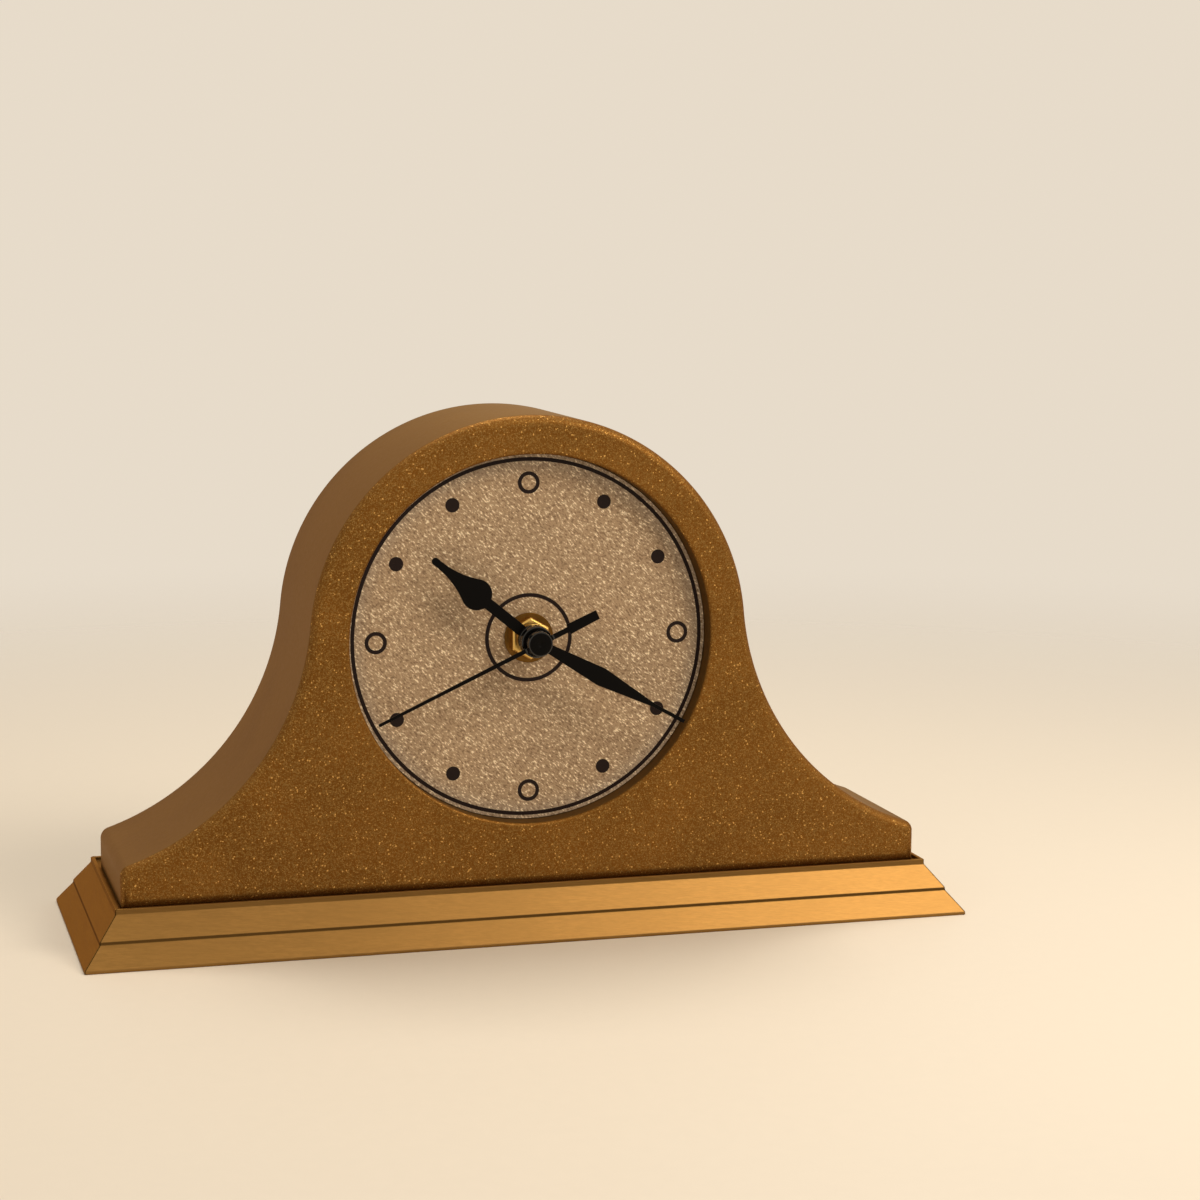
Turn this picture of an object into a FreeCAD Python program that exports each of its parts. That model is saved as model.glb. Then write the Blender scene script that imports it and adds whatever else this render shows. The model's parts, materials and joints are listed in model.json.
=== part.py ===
import FreeCAD, Part
import Sketcher
import math
import os
import re

from FreeCAD import Vector

# Tambour shelf clock: a stepped mitred base, a humped case with a sunk round dial,
# and a battery movement with its whole wheel train hung behind the dial.
#
# Frame: millimetres, origin on the table under the middle of the base, X to the
# right, Y to the back, Z up. Pieces on the hand axis are drawn about the dial centre:
# their sketches lie in the XZ plane, and "ahead" and "behind" count from the dial face.

# Sizes that a designer sets. Lengths in millimetres, angles in degrees.
SIZES = {
    # Base mouldings, read upwards from the table and inwards from the front edge
    "base_width": 238.0,
    "base_depth": 79.4,
    "foot_rise": 0.8,
    "lower_band_rise": 5.4,
    "lower_band_run": 4.3,
    "step_rise": 0.7,
    "upper_band_rise": 5.8,
    "upper_band_run": 4.5,
    "lip_rise": 1.4,
    "lip_width": 1.1,
    "trough_drop": 1.0,
    "trough_width": 2.1,
    # Case body
    "axis_height": 78.5,
    "crown_radius": 59.0,
    "flank_radius": 70.0,
    "foot_height": 10.4,
    "foot_corner_radius": 3.0,
    "front_bevel": 1.8,
    "front_inset": 11.8,
    "rear_inset": 18.1,
    "side_inset": 10.6,
    # Dial recess and the dial that lies in it
    "rim_width": 10.2,
    "recess_depth": 5.5,
    "dial_clearance": 0.2,
    "leather_thickness": 1.0,
    "board_thickness": 3.0,
    # Pocket behind the dial
    "pocket_margin": 4.5,
    "pocket_corner_radius": 8.0,
    # Wood screws that hold the case on its base
    "screw_spacing": 160.0,
    "screw_radius": 2.0,
    "screw_head_radius": 4.0,
    "screw_bite": 17.0,
    "screw_clearance": 0.2,
    "head_sink": 0.3,
    # Movement housing, sized round one AA cell
    "battery_radius": 7.25,
    "battery_length": 50.5,
    "battery_nub_radius": 2.7,
    "battery_nub_length": 1.0,
    "battery_play": 0.6,
    "contact_room": 1.35,
    "contact_thickness": 0.4,
    "contact_width": 9.0,
    "contact_bump": 4.0,
    "spring_width": 4.0,
    "strip_width": 3.0,
    "strip_edge_gap": 1.6,
    "case_wall": 1.4,
    "case_corner_radius": 2.0,
    "axis_below_top": 22.0,
    "divider_drop": 16.1,
    "cover_clearance": 0.1,
    "post_width": 3.0,
    "stud_radius": 0.8,
    "post_inset": 2.0,
    # Bush, nut and washers that clamp the movement to the dial
    "bush_radius": 3.8,
    "bush_bore_radius": 2.6,
    "bush_reach": 3.6,
    "bush_flange_width": 9.6,
    "bush_flange_thickness": 0.8,
    "clamp_clearance": 0.3,
    "rubber_width": 16.0,
    "rubber_thickness": 1.0,
    "washer_radius": 6.65,
    "washer_thickness": 0.5,
    "nut_across_flats": 9.8,
    "nut_thickness": 2.2,
    # Wheel train: tooth counts
    "going_leaves": 6,
    "intermediate_teeth": 36,
    "seconds_teeth": 30,
    "third_teeth": 45,
    "centre_teeth": 48,
    "cannon_leaves": 8,
    "minute_teeth": 24,
    "minute_leaves": 6,
    "hour_teeth": 24,
    # Wheel train: distances between arbors, and the direction of each from the last
    "going_distance": 9.6,
    "rotor_distance": 8.0,
    "motion_distance": 9.6,
    "third_bearing": 20.0,
    "intermediate_bearing": 180.0,
    "rotor_bearing": 120.0,
    "minute_bearing": -60.0,
    "setting_bearing": -20.0,
    # Tooth form, in shares of the module
    "addendum_share": 0.9,
    "dedendum_share": 1.35,
    # Layers of the train, read backwards from the inside of the front plate
    "end_play": 0.4,
    "wheel_thickness": 0.8,
    "layer_gap": 0.5,
    "leaf_overhang": 0.15,
    "mid_plate_thickness": 1.0,
    "mid_plate_left": 11.5,
    "mid_plate_right": 18.5,
    "mid_plate_top": 14.0,
    "mid_plate_bottom": 15.0,
    "pivot_depth": 0.8,
    "running_clearance": 0.06,
    "push_clearance": 0.01,
    # Arbors and the nested pipes of the three hands
    "seconds_arbor_radius": 0.5,
    "train_arbor_radius": 0.4,
    "setting_arbor_radius": 1.2,
    "cannon_radius": 1.6,
    "hour_pipe_radius": 2.5,
    "hour_pipe_reach": 6.0,
    "cannon_reach": 9.0,
    "seconds_reach": 11.6,
    # Stepping motor and its circuit
    "rotor_radius": 3.0,
    "rotor_length": 2.4,
    "rotor_gap": 0.5,
    "stator_thickness": 1.0,
    "stator_lead": 5.6,
    "stator_eye_width": 9.6,
    "stator_arm_width": 3.0,
    "stator_spine_width": 3.0,
    "arm_top": 17.0,
    "arm_bottom": -8.0,
    "coil_build": 1.9,
    "coil_wall_gap": 1.0,
    "coil_end_gap": 0.5,
    "bobbin_wall": 0.5,
    "core_width": 2.6,
    "board_width": 21.0,
    "board_height": 9.0,
    "circuit_thickness": 0.8,
    "circuit_edge_gap": 0.6,
    "circuit_peg_length": 2.0,
    "circuit_peg_width": 2.0,
    "chip_width": 4.0,
    "chip_height": 0.7,
    "crystal_radius": 1.0,
    "crystal_length": 6.0,
    # Time setting knob on the back
    "knob_radius": 5.5,
    "knob_thickness": 2.6,
    "knob_ridges": 24,
    "knob_gap": 0.3,
    # Hands, turned clockwise from twelve: the rest pose reads 10:19:41
    "hour_angle": 309.4,
    "minute_angle": 119.4,
    "seconds_angle": 245.2,
    "hand_thickness": 0.4,
    "hour_hub_radius": 4.2,
    "hour_hub_length": 2.2,
    "hour_hub_ahead": 4.2,
    "hour_length": 35.0,
    "hour_stem_width": 3.0,
    "hour_bulb_radius": 4.1,
    "hour_bulb_distance": 19.8,
    "hour_flank_radius": 24.0,
    "hour_tip_radius": 1.0,
    "minute_hub_radius": 4.2,
    "minute_hub_length": 2.0,
    "minute_hub_ahead": 7.2,
    "minute_length": 46.6,
    "minute_root_width": 1.9,
    "minute_widest": 4.9,
    "minute_widest_distance": 20.2,
    "minute_neck_distance": 37.0,
    "minute_tip_width": 1.0,
    "minute_shoulder_radius": 8.0,
    "seconds_cap_radius": 3.3,
    "seconds_cap_length": 2.4,
    "seconds_cap_ahead": 10.4,
    "seconds_length": 47.0,
    "seconds_width": 0.9,
    "seconds_neck_width": 1.4,
    "seconds_tail_length": 17.2,
    "seconds_weight_width": 2.8,
    "seconds_weight_length": 8.7,
    "cap_bevel": 0.3,
    # One overrun for every cut that has to leave its solid
    "overrun": 1.0,
}

# Sizes that follow from those above, as formulas of the sheet.
FOLLOWS = {
    "lower_band_top": "foot_rise + lower_band_rise",
    "upper_band_foot": "lower_band_top + step_rise",
    "upper_band_top": "upper_band_foot + upper_band_rise",
    "base_height": "upper_band_top + lip_rise",
    "seat_height": "base_height - trough_drop",
    "lip_run": "lower_band_run + upper_band_run",
    "trough_run": "lip_run + lip_width",
    "moulding_depth": "trough_run + trough_width",
    "body_depth": "base_depth - front_inset - rear_inset",
    "dial_y": "front_inset + recess_depth - base_depth / 2",
    "screw_line_y": "front_inset + body_depth / 2 - base_depth / 2",
    "foot_half_width": "base_width / 2 - side_inset",
    "body_drop": "axis_height - seat_height",
    "foot_drop": "body_drop - foot_height",
    "recess_radius": "crown_radius - rim_width",
    "dial_radius": "recess_radius - dial_clearance",
    "dial_stack": "leather_thickness + board_thickness",
    # Housing planes, behind the dial face
    "movement_front": "dial_stack + rubber_thickness",
    "train_front": "movement_front + case_wall",
    "movement_depth": "case_wall + 2 * battery_radius + battery_play",
    "movement_rear": "movement_front + movement_depth",
    "cover_front": "movement_rear - case_wall",
    "inner_half": "battery_length / 2 + contact_room",
    "movement_half": "inner_half + case_wall",
    "bay_top": "divider_drop + case_wall",
    "bay_bottom": "bay_top + 2 * battery_radius + battery_play",
    "movement_bottom": "bay_bottom + case_wall",
    "train_top": "axis_below_top - case_wall",
    "battery_drop": "(bay_top + bay_bottom) / 2",
    "battery_behind": "train_front + battery_play / 2 + battery_radius",
    # Layers of the train
    "hour_layer": "train_front + end_play",
    "layer_step": "wheel_thickness + layer_gap",
    "minute_layer": "hour_layer + layer_step",
    "mid_plate_front": "minute_layer + layer_step",
    "mid_plate_rear": "mid_plate_front + mid_plate_thickness",
    "centre_layer": "mid_plate_rear + layer_gap",
    "third_layer": "centre_layer + layer_step",
    "seconds_layer": "third_layer + layer_step",
    "intermediate_layer": "seconds_layer + layer_step",
    "arbor_front": "mid_plate_rear - pivot_depth",
    "arbor_rear": "cover_front + pivot_depth",
    # Modules: each pair shares its two arbors' distance
    "third_module": "2 * going_distance / (third_teeth + going_leaves)",
    "centre_module": "2 * going_distance / (centre_teeth + going_leaves)",
    "seconds_module": "2 * going_distance / (seconds_teeth + going_leaves)",
    "rotor_module": "2 * rotor_distance / (intermediate_teeth + going_leaves)",
    "minute_module": "2 * motion_distance / (minute_teeth + cannon_leaves)",
    "hour_module": "2 * motion_distance / (hour_teeth + minute_leaves)",
    # Arbor places, right of and above the hand axis
    "third_x": "going_distance * cos(third_bearing)",
    "third_z": "going_distance * sin(third_bearing)",
    "intermediate_x": "going_distance * cos(intermediate_bearing)",
    "intermediate_z": "going_distance * sin(intermediate_bearing)",
    "rotor_x": "intermediate_x + rotor_distance * cos(rotor_bearing)",
    "rotor_z": "intermediate_z + rotor_distance * sin(rotor_bearing)",
    "minute_x": "motion_distance * cos(minute_bearing)",
    "minute_z": "motion_distance * sin(minute_bearing)",
    "setting_x": "minute_x + motion_distance * cos(setting_bearing)",
    "setting_z": "minute_z + motion_distance * sin(setting_bearing)",
    # Motor
    "stator_front": "train_front + stator_lead",
    "core_front": "stator_front + stator_thickness",
    "coil_behind": "core_front + stator_thickness / 2",
    "coil_x": "core_width / 2 + coil_build + coil_wall_gap - inner_half",
    "coil_top": "arm_top - stator_arm_width - coil_end_gap",
    "coil_bottom": "arm_bottom + stator_arm_width + coil_end_gap",
    "circuit_behind": "cover_front - circuit_peg_length - circuit_thickness",
    "circuit_right": "inner_half - circuit_edge_gap",
    "circuit_top": "train_top - circuit_edge_gap",
    "knob_module": "2 * knob_radius / (knob_ridges + 2 * addendum_share)",
}

doc = FreeCAD.newDocument("shelf_clock")
sheet = doc.addObject("Spreadsheet::Sheet", "Sizes")
WORD = re.compile(r"[a-z]+(?:_[a-z]+)+|overrun")


def fill_sheet():
    """Writes one row for each size: its name beside its value or its formula."""
    for row, (alias, value) in enumerate({**SIZES, **FOLLOWS}.items(), start=1):
        sheet.set(f"A{row}", alias)
        sheet.set(f"B{row}", "=" + value if alias in FOLLOWS else str(value))
        sheet.setAlias(f"B{row}", alias)
    doc.recompute()


def formula(text):
    """A size formula as the document reads it, with each size taken from the sheet."""
    return WORD.sub(lambda word: "Sizes." + word.group(), str(text))


def value_of(text):
    """What a size formula comes to now."""
    return float(sheet.evalExpression(formula(text)))


def bind(item, path, text):
    """Ties one property of an object to a size formula."""
    item.setExpression(path, formula(text))


# Sketches


def new_body(name, place_x="0", place_y="0", place_z="0"):
    """An empty body under its own name, placed by three size formulas."""
    body = doc.addObject("PartDesign::Body", name)
    body.Label = name
    bind(body, "Placement.Base.x", place_x)
    bind(body, "Placement.Base.y", place_y)
    bind(body, "Placement.Base.z", place_z)
    return body


def on_axis(name, right="0", above="0"):
    """A body drawn about an arbor, given from the dial centre."""
    return new_body(name, right, "dial_y", f"axis_height + {above}")


def new_sketch(body, name, role="XZ_Plane", offset="0", turn="0"):
    """A sketch on one of the body's own planes, moved along its normal and turned in it."""
    sketch = body.newObject("Sketcher::SketchObject", f"{body.Label}_{name}")
    plane = [item for item in body.Origin.OriginFeatures if item.Role == role][0]
    sketch.AttachmentSupport = (plane, [""])
    sketch.MapMode = "FlatFace"
    bind(sketch, "AttachmentOffset.Base.z", offset)
    bind(sketch, "AttachmentOffset.Rotation.Angle", turn)
    return sketch


def size_constraint(sketch, kind, places, text):
    """A constraint whose value is a size formula."""
    index = sketch.addConstraint(Sketcher.Constraint(kind, *places, value_of(text)))
    bind(sketch, f"Constraints[{index}]", text)


def pin_point(sketch, curve, point, right, above):
    """Holds one point of a curve at a place given by two formulas."""
    size_constraint(sketch, "DistanceX", (-1, 1, curve, point), right)
    size_constraint(sketch, "DistanceY", (-1, 1, curve, point), above)


def add_polygon(sketch, corners):
    """A closed polygon through corners that are pairs of formulas."""
    spots = [Vector(value_of(right), value_of(above), 0) for right, above in corners]
    count = len(spots)
    first = sketch.GeometryCount
    for index in range(count):
        sketch.addGeometry(Part.LineSegment(spots[index], spots[(index + 1) % count]))
    for index in range(count):
        following = first + (index + 1) % count
        sketch.addConstraint(Sketcher.Constraint("Coincident", first + index, 2, following, 1))
    for index, (right, above) in enumerate(corners):
        pin_point(sketch, first + index, 1, right, above)


def add_rectangle(sketch, left, bottom, right, top):
    """An upright rectangle between four formulas."""
    add_polygon(sketch, [(left, bottom), (right, bottom), (right, top), (left, top)])


def add_rounded_rectangle(sketch, left, bottom, right, top, radius):
    """An upright rectangle with round corners, drawn anticlockwise from its lower side."""
    west, south, east, north, bend = (value_of(text) for text in (left, bottom, right, top, radius))
    corners = [(west, south, 1, 1), (east, south, -1, 1), (east, north, -1, -1), (west, north, 1, -1)]
    sides, bends = [], []
    for index, (corner_x, corner_z, inward_x, inward_z) in enumerate(corners):
        centre = Vector(corner_x + inward_x * bend, corner_z + inward_z * bend, 0)
        start = math.pi * (1 + index / 2)
        circle = Part.Circle(centre, Vector(0, 0, 1), bend)
        bends.append(sketch.addGeometry(Part.ArcOfCircle(circle, start, start + math.pi / 2)))
    for index in range(4):
        following = sketch.Geometry[bends[(index + 1) % 4]]
        line = Part.LineSegment(sketch.Geometry[bends[index]].EndPoint, following.StartPoint)
        sides.append(sketch.addGeometry(line))
    for index in range(4):
        sketch.addConstraint(Sketcher.Constraint("Tangent", bends[index], 2, sides[index], 1))
        sketch.addConstraint(Sketcher.Constraint("Tangent", sides[index], 2, bends[(index + 1) % 4], 1))
        sketch.addConstraint(Sketcher.Constraint(("Horizontal", "Vertical")[index % 2], sides[index]))
        size_constraint(sketch, "Radius", (bends[index],), radius)
    for index, (kind, text) in enumerate([("DistanceY", bottom), ("DistanceX", right), ("DistanceY", top),
                                          ("DistanceX", left)]):
        size_constraint(sketch, kind, (-1, 1, sides[index], 1), text)


def add_circle(sketch, radius, right="0", above="0"):
    """A circle of a given radius about a given centre."""
    centre = Vector(value_of(right), value_of(above), 0)
    curve = sketch.addGeometry(Part.Circle(centre, Vector(0, 0, 1), value_of(radius)))
    pin_point(sketch, curve, 3, right, above)
    size_constraint(sketch, "Radius", (curve,), radius)


# Features


def add_pad(body, sketch, length, toward_back=True):
    """Raises a sketch into a solid: towards the back unless told otherwise."""
    pad = body.newObject("PartDesign::Pad", f"{sketch.Name}_pad")
    pad.Profile = sketch
    pad.Reversed = toward_back
    bind(pad, "Length", length)
    return pad


def add_pocket(body, sketch, length, toward_back=True):
    """Cuts a sketch out of the solid: towards the back unless told otherwise."""
    pocket = body.newObject("PartDesign::Pocket", f"{sketch.Name}_cut")
    pocket.Profile = sketch
    pocket.Reversed = not toward_back
    bind(pocket, "Length", length)
    return pocket


def pad_disc(body, name, radius, start, length):
    """A disc about the body's own axis; start is behind the dial face."""
    sketch = new_sketch(body, name, offset=f"-({start})")
    add_circle(sketch, radius)
    return add_pad(body, sketch, length)


def bore(body, name, radius, start, length, right="0", above="0"):
    """A round hole along the hand axis; start is behind the dial face."""
    sketch = new_sketch(body, name, offset=f"-({start})")
    add_circle(sketch, radius, right, above)
    return add_pocket(body, sketch, length)


def dress(body, kind, name, size, chosen):
    """A fillet or chamfer on the edges of the body that a test picks."""
    doc.recompute()
    tip = body.Tip
    picked = [f"Edge{index}" for index, edge in enumerate(tip.Shape.Edges, start=1) if chosen(edge)]
    if not picked:
        raise RuntimeError(f"{body.Label} {name}: no edge to work on")
    feature = body.newObject(f"PartDesign::{kind}", f"{body.Label}_{name}")
    feature.Base = (tip, picked)
    bind(feature, "Radius" if kind == "Fillet" else "Size", size)
    return feature


def near(first, second):
    """Whether two lengths are the same for the purpose of picking an edge."""
    return math.isclose(first, second, rel_tol=1e-6, abs_tol=1e-4)


def runs_back(edge):
    """Whether an edge is straight and runs from front to back."""
    box = edge.BoundBox
    return near(box.XLength, 0) and near(box.ZLength, 0)


def lies_at(edge, depth):
    """Whether an edge lies in an upright plane at one depth."""
    box = edge.BoundBox
    return near(box.YMin, depth) and near(box.YMax, depth)


def add_teeth(body, name, teeth, module, phase, start, width):
    """A ring of pointed clock teeth about the body's axis; phase turns the first gap off the right."""
    tip = f"{module} * ({teeth} / 2 + addendum_share)"
    root = f"{module} * ({teeth} / 2 - dedendum_share)"
    far = f"({tip} + {module})"
    half_step = f"180 / ({teeth})"
    spread = f"({far} - {root}) * {tip} * sin({half_step}) / ({tip} * cos({half_step}) - {root})"
    pad_disc(body, name, tip, start, width)
    gap = new_sketch(body, f"{name}_gap", offset=f"-({start})", turn=phase)
    add_polygon(gap, [(root, "0"), (far, f"-{spread}"), (far, spread)])
    cut = add_pocket(body, gap, width)
    doc.recompute()
    pattern = body.newObject("PartDesign::PolarPattern", f"{body.Label}_{name}_teeth")
    pattern.Originals = [cut]
    pattern.Axis = (gap, ["N_Axis"])
    pattern.Angle = 360
    bind(pattern, "Occurrences", teeth)
    body.Tip = pattern


def mesh_phase(bearing, driver_phase, driver_teeth, teeth):
    """The gap direction of a ring at a bearing from its driver, so that their teeth interlock."""
    shift = f"(({bearing}) - ({driver_phase})) * ({driver_teeth}) / ({teeth})"
    return f"({bearing}) + 180 + 180 / ({teeth}) + {shift}"


# Base


def moulding_profile(side, edge):
    """The stepped section, from its outer foot up to the lip and down its inner side."""
    section = [
        ("0", "0"),
        ("0", "foot_rise"),
        ("lower_band_run", "lower_band_top"),
        ("lower_band_run", "upper_band_foot"),
        ("lip_run", "upper_band_top"),
        ("lip_run", "base_height"),
        ("trough_run", "base_height"),
        ("trough_run", "seat_height"),
        ("moulding_depth", "seat_height"),
        ("moulding_depth", "0"),
    ]
    return [(f"{side} * ({edge} - {run})", rise) for run, rise in section]


def base_moulding(name, lengthwise, side):
    """One side of the base, mitred at both ends; side is -1 or 1 along its own axis."""
    body = new_body(name)
    edge, end = ("base_depth / 2", "base_width / 2") if lengthwise else ("base_width / 2", "base_depth / 2")
    section = new_sketch(body, "section", "YZ_Plane" if lengthwise else "XZ_Plane")
    add_polygon(section, moulding_profile(side, edge))
    rail = add_pad(body, section, f"2 * ({end})")
    rail.SideType = "Symmetric"
    mitre = new_sketch(body, "mitre", "XY_Plane", "base_height + overrun")
    for hand in (-1, 1):
        outer = (f"{side} * ({edge} + overrun)", f"{hand} * ({end} + overrun)")
        back = (f"{side} * ({edge} - moulding_depth - overrun)", f"{hand} * ({end} + overrun)")
        tip = (back[0], f"{hand} * ({end} - moulding_depth - overrun)")
        corners = [outer, back, tip]
        add_polygon(mitre, [(along, across) if lengthwise else (across, along) for across, along in corners])
    add_pocket(body, mitre, "base_height + 2 * overrun")


def screw_places():
    """The two screw centres, seen from above: left and right on the case's middle line."""
    return [("-screw_spacing / 2", "screw_line_y"), ("screw_spacing / 2", "screw_line_y")]


def base_board():
    """The plain board that the mouldings are glued round, countersunk for the screws."""
    body = new_body("base_board")
    outline = new_sketch(body, "outline", "XY_Plane")
    half_width, half_depth = "(base_width / 2 - moulding_depth)", "(base_depth / 2 - moulding_depth)"
    add_rectangle(outline, f"-{half_width}", f"-{half_depth}", half_width, half_depth)
    add_pad(body, outline, "seat_height", toward_back=False)
    holes = new_sketch(body, "holes", "XY_Plane", "seat_height + overrun")
    for right, back in screw_places():
        add_circle(holes, "screw_radius + screw_clearance", right, back)
    add_pocket(body, holes, "seat_height + 2 * overrun")
    dress(body, "Chamfer", "countersink", "screw_head_radius - screw_radius + head_sink",
          lambda edge: near(edge.BoundBox.ZMax, 0) and isinstance(edge.Curve, Part.Circle))


def case_screws():
    """Two countersunk screws, driven up through the board into the case."""
    body = new_body("case_screws")
    body.AllowCompound = True
    screw = new_sketch(body, "section", "XZ_Plane", "-screw_line_y")
    centre = "screw_spacing / 2"
    top = "seat_height + screw_bite"
    add_polygon(screw, [
        (centre, "head_sink"),
        (f"{centre} + screw_head_radius", "head_sink"),
        (f"{centre} + screw_radius", "head_sink + screw_head_radius - screw_radius"),
        (f"{centre} + screw_radius", top),
        (centre, top),
    ])
    turned = body.newObject("PartDesign::Revolution", "screw")
    turned.Profile = screw
    turned.ReferenceAxis = (screw, ["Edge5"])
    turned.Angle = 360
    doc.recompute()
    pair = body.newObject("PartDesign::LinearPattern", "screw_pair")
    pair.Originals = [turned]
    pair.Direction = (screw, ["H_Axis"])
    pair.Reversed = True
    pair.Occurrences = 2
    bind(pair, "Length", "screw_spacing")
    body.Tip = pair


# Case


def flank_centre():
    """Where the right flank's arc is centred: it touches the crown and ends at the foot."""
    crown, flank = value_of("crown_radius"), value_of("flank_radius")
    foot_x, foot_z = value_of("foot_half_width"), -value_of("foot_drop")
    reach, span = crown + flank, math.hypot(foot_x, foot_z)
    along = (reach ** 2 - flank ** 2 + span ** 2) / (2 * span)
    aside = math.sqrt(reach ** 2 - along ** 2)
    return (along * foot_x - aside * foot_z) / span, (along * foot_z + aside * foot_x) / span


def add_case_outline(sketch):
    """The humped outline: a round crown, hollow flanks that touch it, and short upright feet."""
    up = Vector(0, 0, 1)
    crown, flank = value_of("crown_radius"), value_of("flank_radius")
    half, foot, floor = value_of("foot_half_width"), -value_of("foot_drop"), -value_of("body_drop")
    centre_x, centre_z = flank_centre()
    touch = math.atan2(centre_z, centre_x)
    low = math.atan2(foot - centre_z, half - centre_x)
    crown_arc = Part.ArcOfCircle(Part.Circle(Vector(0, 0, 0), up, crown), touch, math.pi - touch)
    right_arc = Part.ArcOfCircle(Part.Circle(Vector(centre_x, centre_z, 0), up, flank), touch + math.pi,
                                 low + 2 * math.pi)
    left_arc = Part.ArcOfCircle(Part.Circle(Vector(-centre_x, centre_z, 0), up, flank), math.pi - low,
                                2 * math.pi - touch)
    arcs = (crown_arc, right_arc, left_arc)
    top_arc, right_flank, left_flank = (sketch.addGeometry(curve) for curve in arcs)
    corners = [Vector(half, foot, 0), Vector(half, floor, 0), Vector(-half, floor, 0), Vector(-half, foot, 0)]
    right_foot, bottom, left_foot = (
        sketch.addGeometry(Part.LineSegment(corners[index], corners[index + 1])) for index in range(3))
    join = sketch.addConstraint
    join(Sketcher.Constraint("Coincident", top_arc, 3, -1, 1))
    join(Sketcher.Constraint("Tangent", top_arc, 1, right_flank, 1))
    join(Sketcher.Constraint("Tangent", top_arc, 2, left_flank, 2))
    join(Sketcher.Constraint("Coincident", right_flank, 2, right_foot, 1))
    join(Sketcher.Constraint("Coincident", right_foot, 2, bottom, 1))
    join(Sketcher.Constraint("Coincident", bottom, 2, left_foot, 1))
    join(Sketcher.Constraint("Coincident", left_foot, 2, left_flank, 1))
    size_constraint(sketch, "Radius", (top_arc,), "crown_radius")
    size_constraint(sketch, "Radius", (right_flank,), "flank_radius")
    size_constraint(sketch, "Radius", (left_flank,), "flank_radius")
    pin_point(sketch, right_foot, 1, "foot_half_width", "-foot_drop")
    pin_point(sketch, bottom, 1, "foot_half_width", "-body_drop")
    pin_point(sketch, bottom, 2, "-foot_half_width", "-body_drop")
    pin_point(sketch, left_foot, 2, "-foot_half_width", "-foot_drop")


def case_body():
    """The humped body: bevelled round its front, bored for the dial and pocketed behind it."""
    body = on_axis("case_body")
    outline = new_sketch(body, "outline", offset="recess_depth")
    add_case_outline(outline)
    add_pad(body, outline, "body_depth")
    half, foot, front = value_of("foot_half_width"), -value_of("foot_drop"), -value_of("recess_depth")

    def at_shoulder(edge):
        return runs_back(edge) and near(abs(edge.BoundBox.XMin), half) and near(edge.BoundBox.ZMin, foot)

    dress(body, "Fillet", "shoulders", "foot_corner_radius", at_shoulder)
    dress(body, "Chamfer", "front_bevel", "front_bevel", lambda edge: lies_at(edge, front))
    recess = new_sketch(body, "recess", offset="recess_depth + overrun")
    add_circle(recess, "recess_radius")
    add_pocket(body, recess, "recess_depth + dial_stack + overrun")
    pocket = new_sketch(body, "pocket", offset="recess_depth - body_depth - overrun")
    add_rounded_rectangle(pocket, "-(movement_half + pocket_margin)", "-(movement_bottom + pocket_margin)",
                          "movement_half + pocket_margin", "axis_below_top + pocket_margin",
                          "pocket_corner_radius")
    add_pocket(body, pocket, "body_depth - recess_depth - dial_stack + overrun", toward_back=False)
    holes = new_sketch(body, "screw_holes", "XY_Plane", "-body_drop - overrun")
    for right, back_place in screw_places():
        add_circle(holes, "screw_radius", right, f"{back_place} - dial_y")
    drilled = add_pocket(body, holes, "screw_bite + overrun")
    drilled.Reversed = True


# Dial and the clamp at its centre


def leather_dial():
    """The leather face glued on its board, holed for the bush."""
    body = on_axis("leather_dial")
    pad_disc(body, "disc", "dial_radius", "0", "dial_stack")
    bore(body, "hole", "bush_radius + clamp_clearance", "-overrun", "dial_stack + 2 * overrun")


def rubber_washer():
    """The square rubber pad that grips the back of the dial."""
    body = on_axis("rubber_washer")
    pad = new_sketch(body, "pad", offset="-dial_stack")
    half = "rubber_width / 2"
    add_rectangle(pad, f"-{half}", f"-{half}", half, half)
    add_circle(pad, "bush_radius + clamp_clearance")
    add_pad(body, pad, "rubber_thickness")


def brass_washer():
    """The plain washer under the nut."""
    body = on_axis("brass_washer")
    pad_disc(body, "disc", "washer_radius", "-washer_thickness", "washer_thickness")
    bore(body, "hole", "bush_radius + clamp_clearance", "-(washer_thickness + overrun)",
         "washer_thickness + 2 * overrun")


def hex_nut():
    """The brass nut, with a point upwards."""
    body = on_axis("hex_nut")
    nut = new_sketch(body, "flats", offset="washer_thickness")
    half_flat = "nut_across_flats / 2"
    corner = "nut_across_flats / 2 / cos(30)"
    low = "(nut_across_flats / 2 * tan(30))"
    add_polygon(nut, [(half_flat, f"-{low}"), (half_flat, low), ("0", corner),
                      (f"-{half_flat}", low), (f"-{half_flat}", f"-{low}"), ("0", f"-{corner}")])
    add_circle(nut, "bush_radius + push_clearance")
    add_pad(body, nut, "nut_thickness", toward_back=False)


def threaded_bush():
    """The brass tube round the hands' pipes; a square flange keeps it from turning with its nut."""
    body = on_axis("threaded_bush")
    flange = new_sketch(body, "flange", offset="-train_front")
    half = "bush_flange_width / 2"
    add_rectangle(flange, f"-{half}", f"-{half}", half, half)
    add_pad(body, flange, "bush_flange_thickness", toward_back=False)
    tube = new_sketch(body, "tube", offset="bush_flange_thickness - train_front")
    add_circle(tube, "bush_radius")
    add_pad(body, tube, "train_front - bush_flange_thickness + bush_reach", toward_back=False)
    bore(body, "bore", "bush_bore_radius", "-bush_reach - overrun", "bush_reach + train_front + 2 * overrun")


# Movement housing


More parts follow.
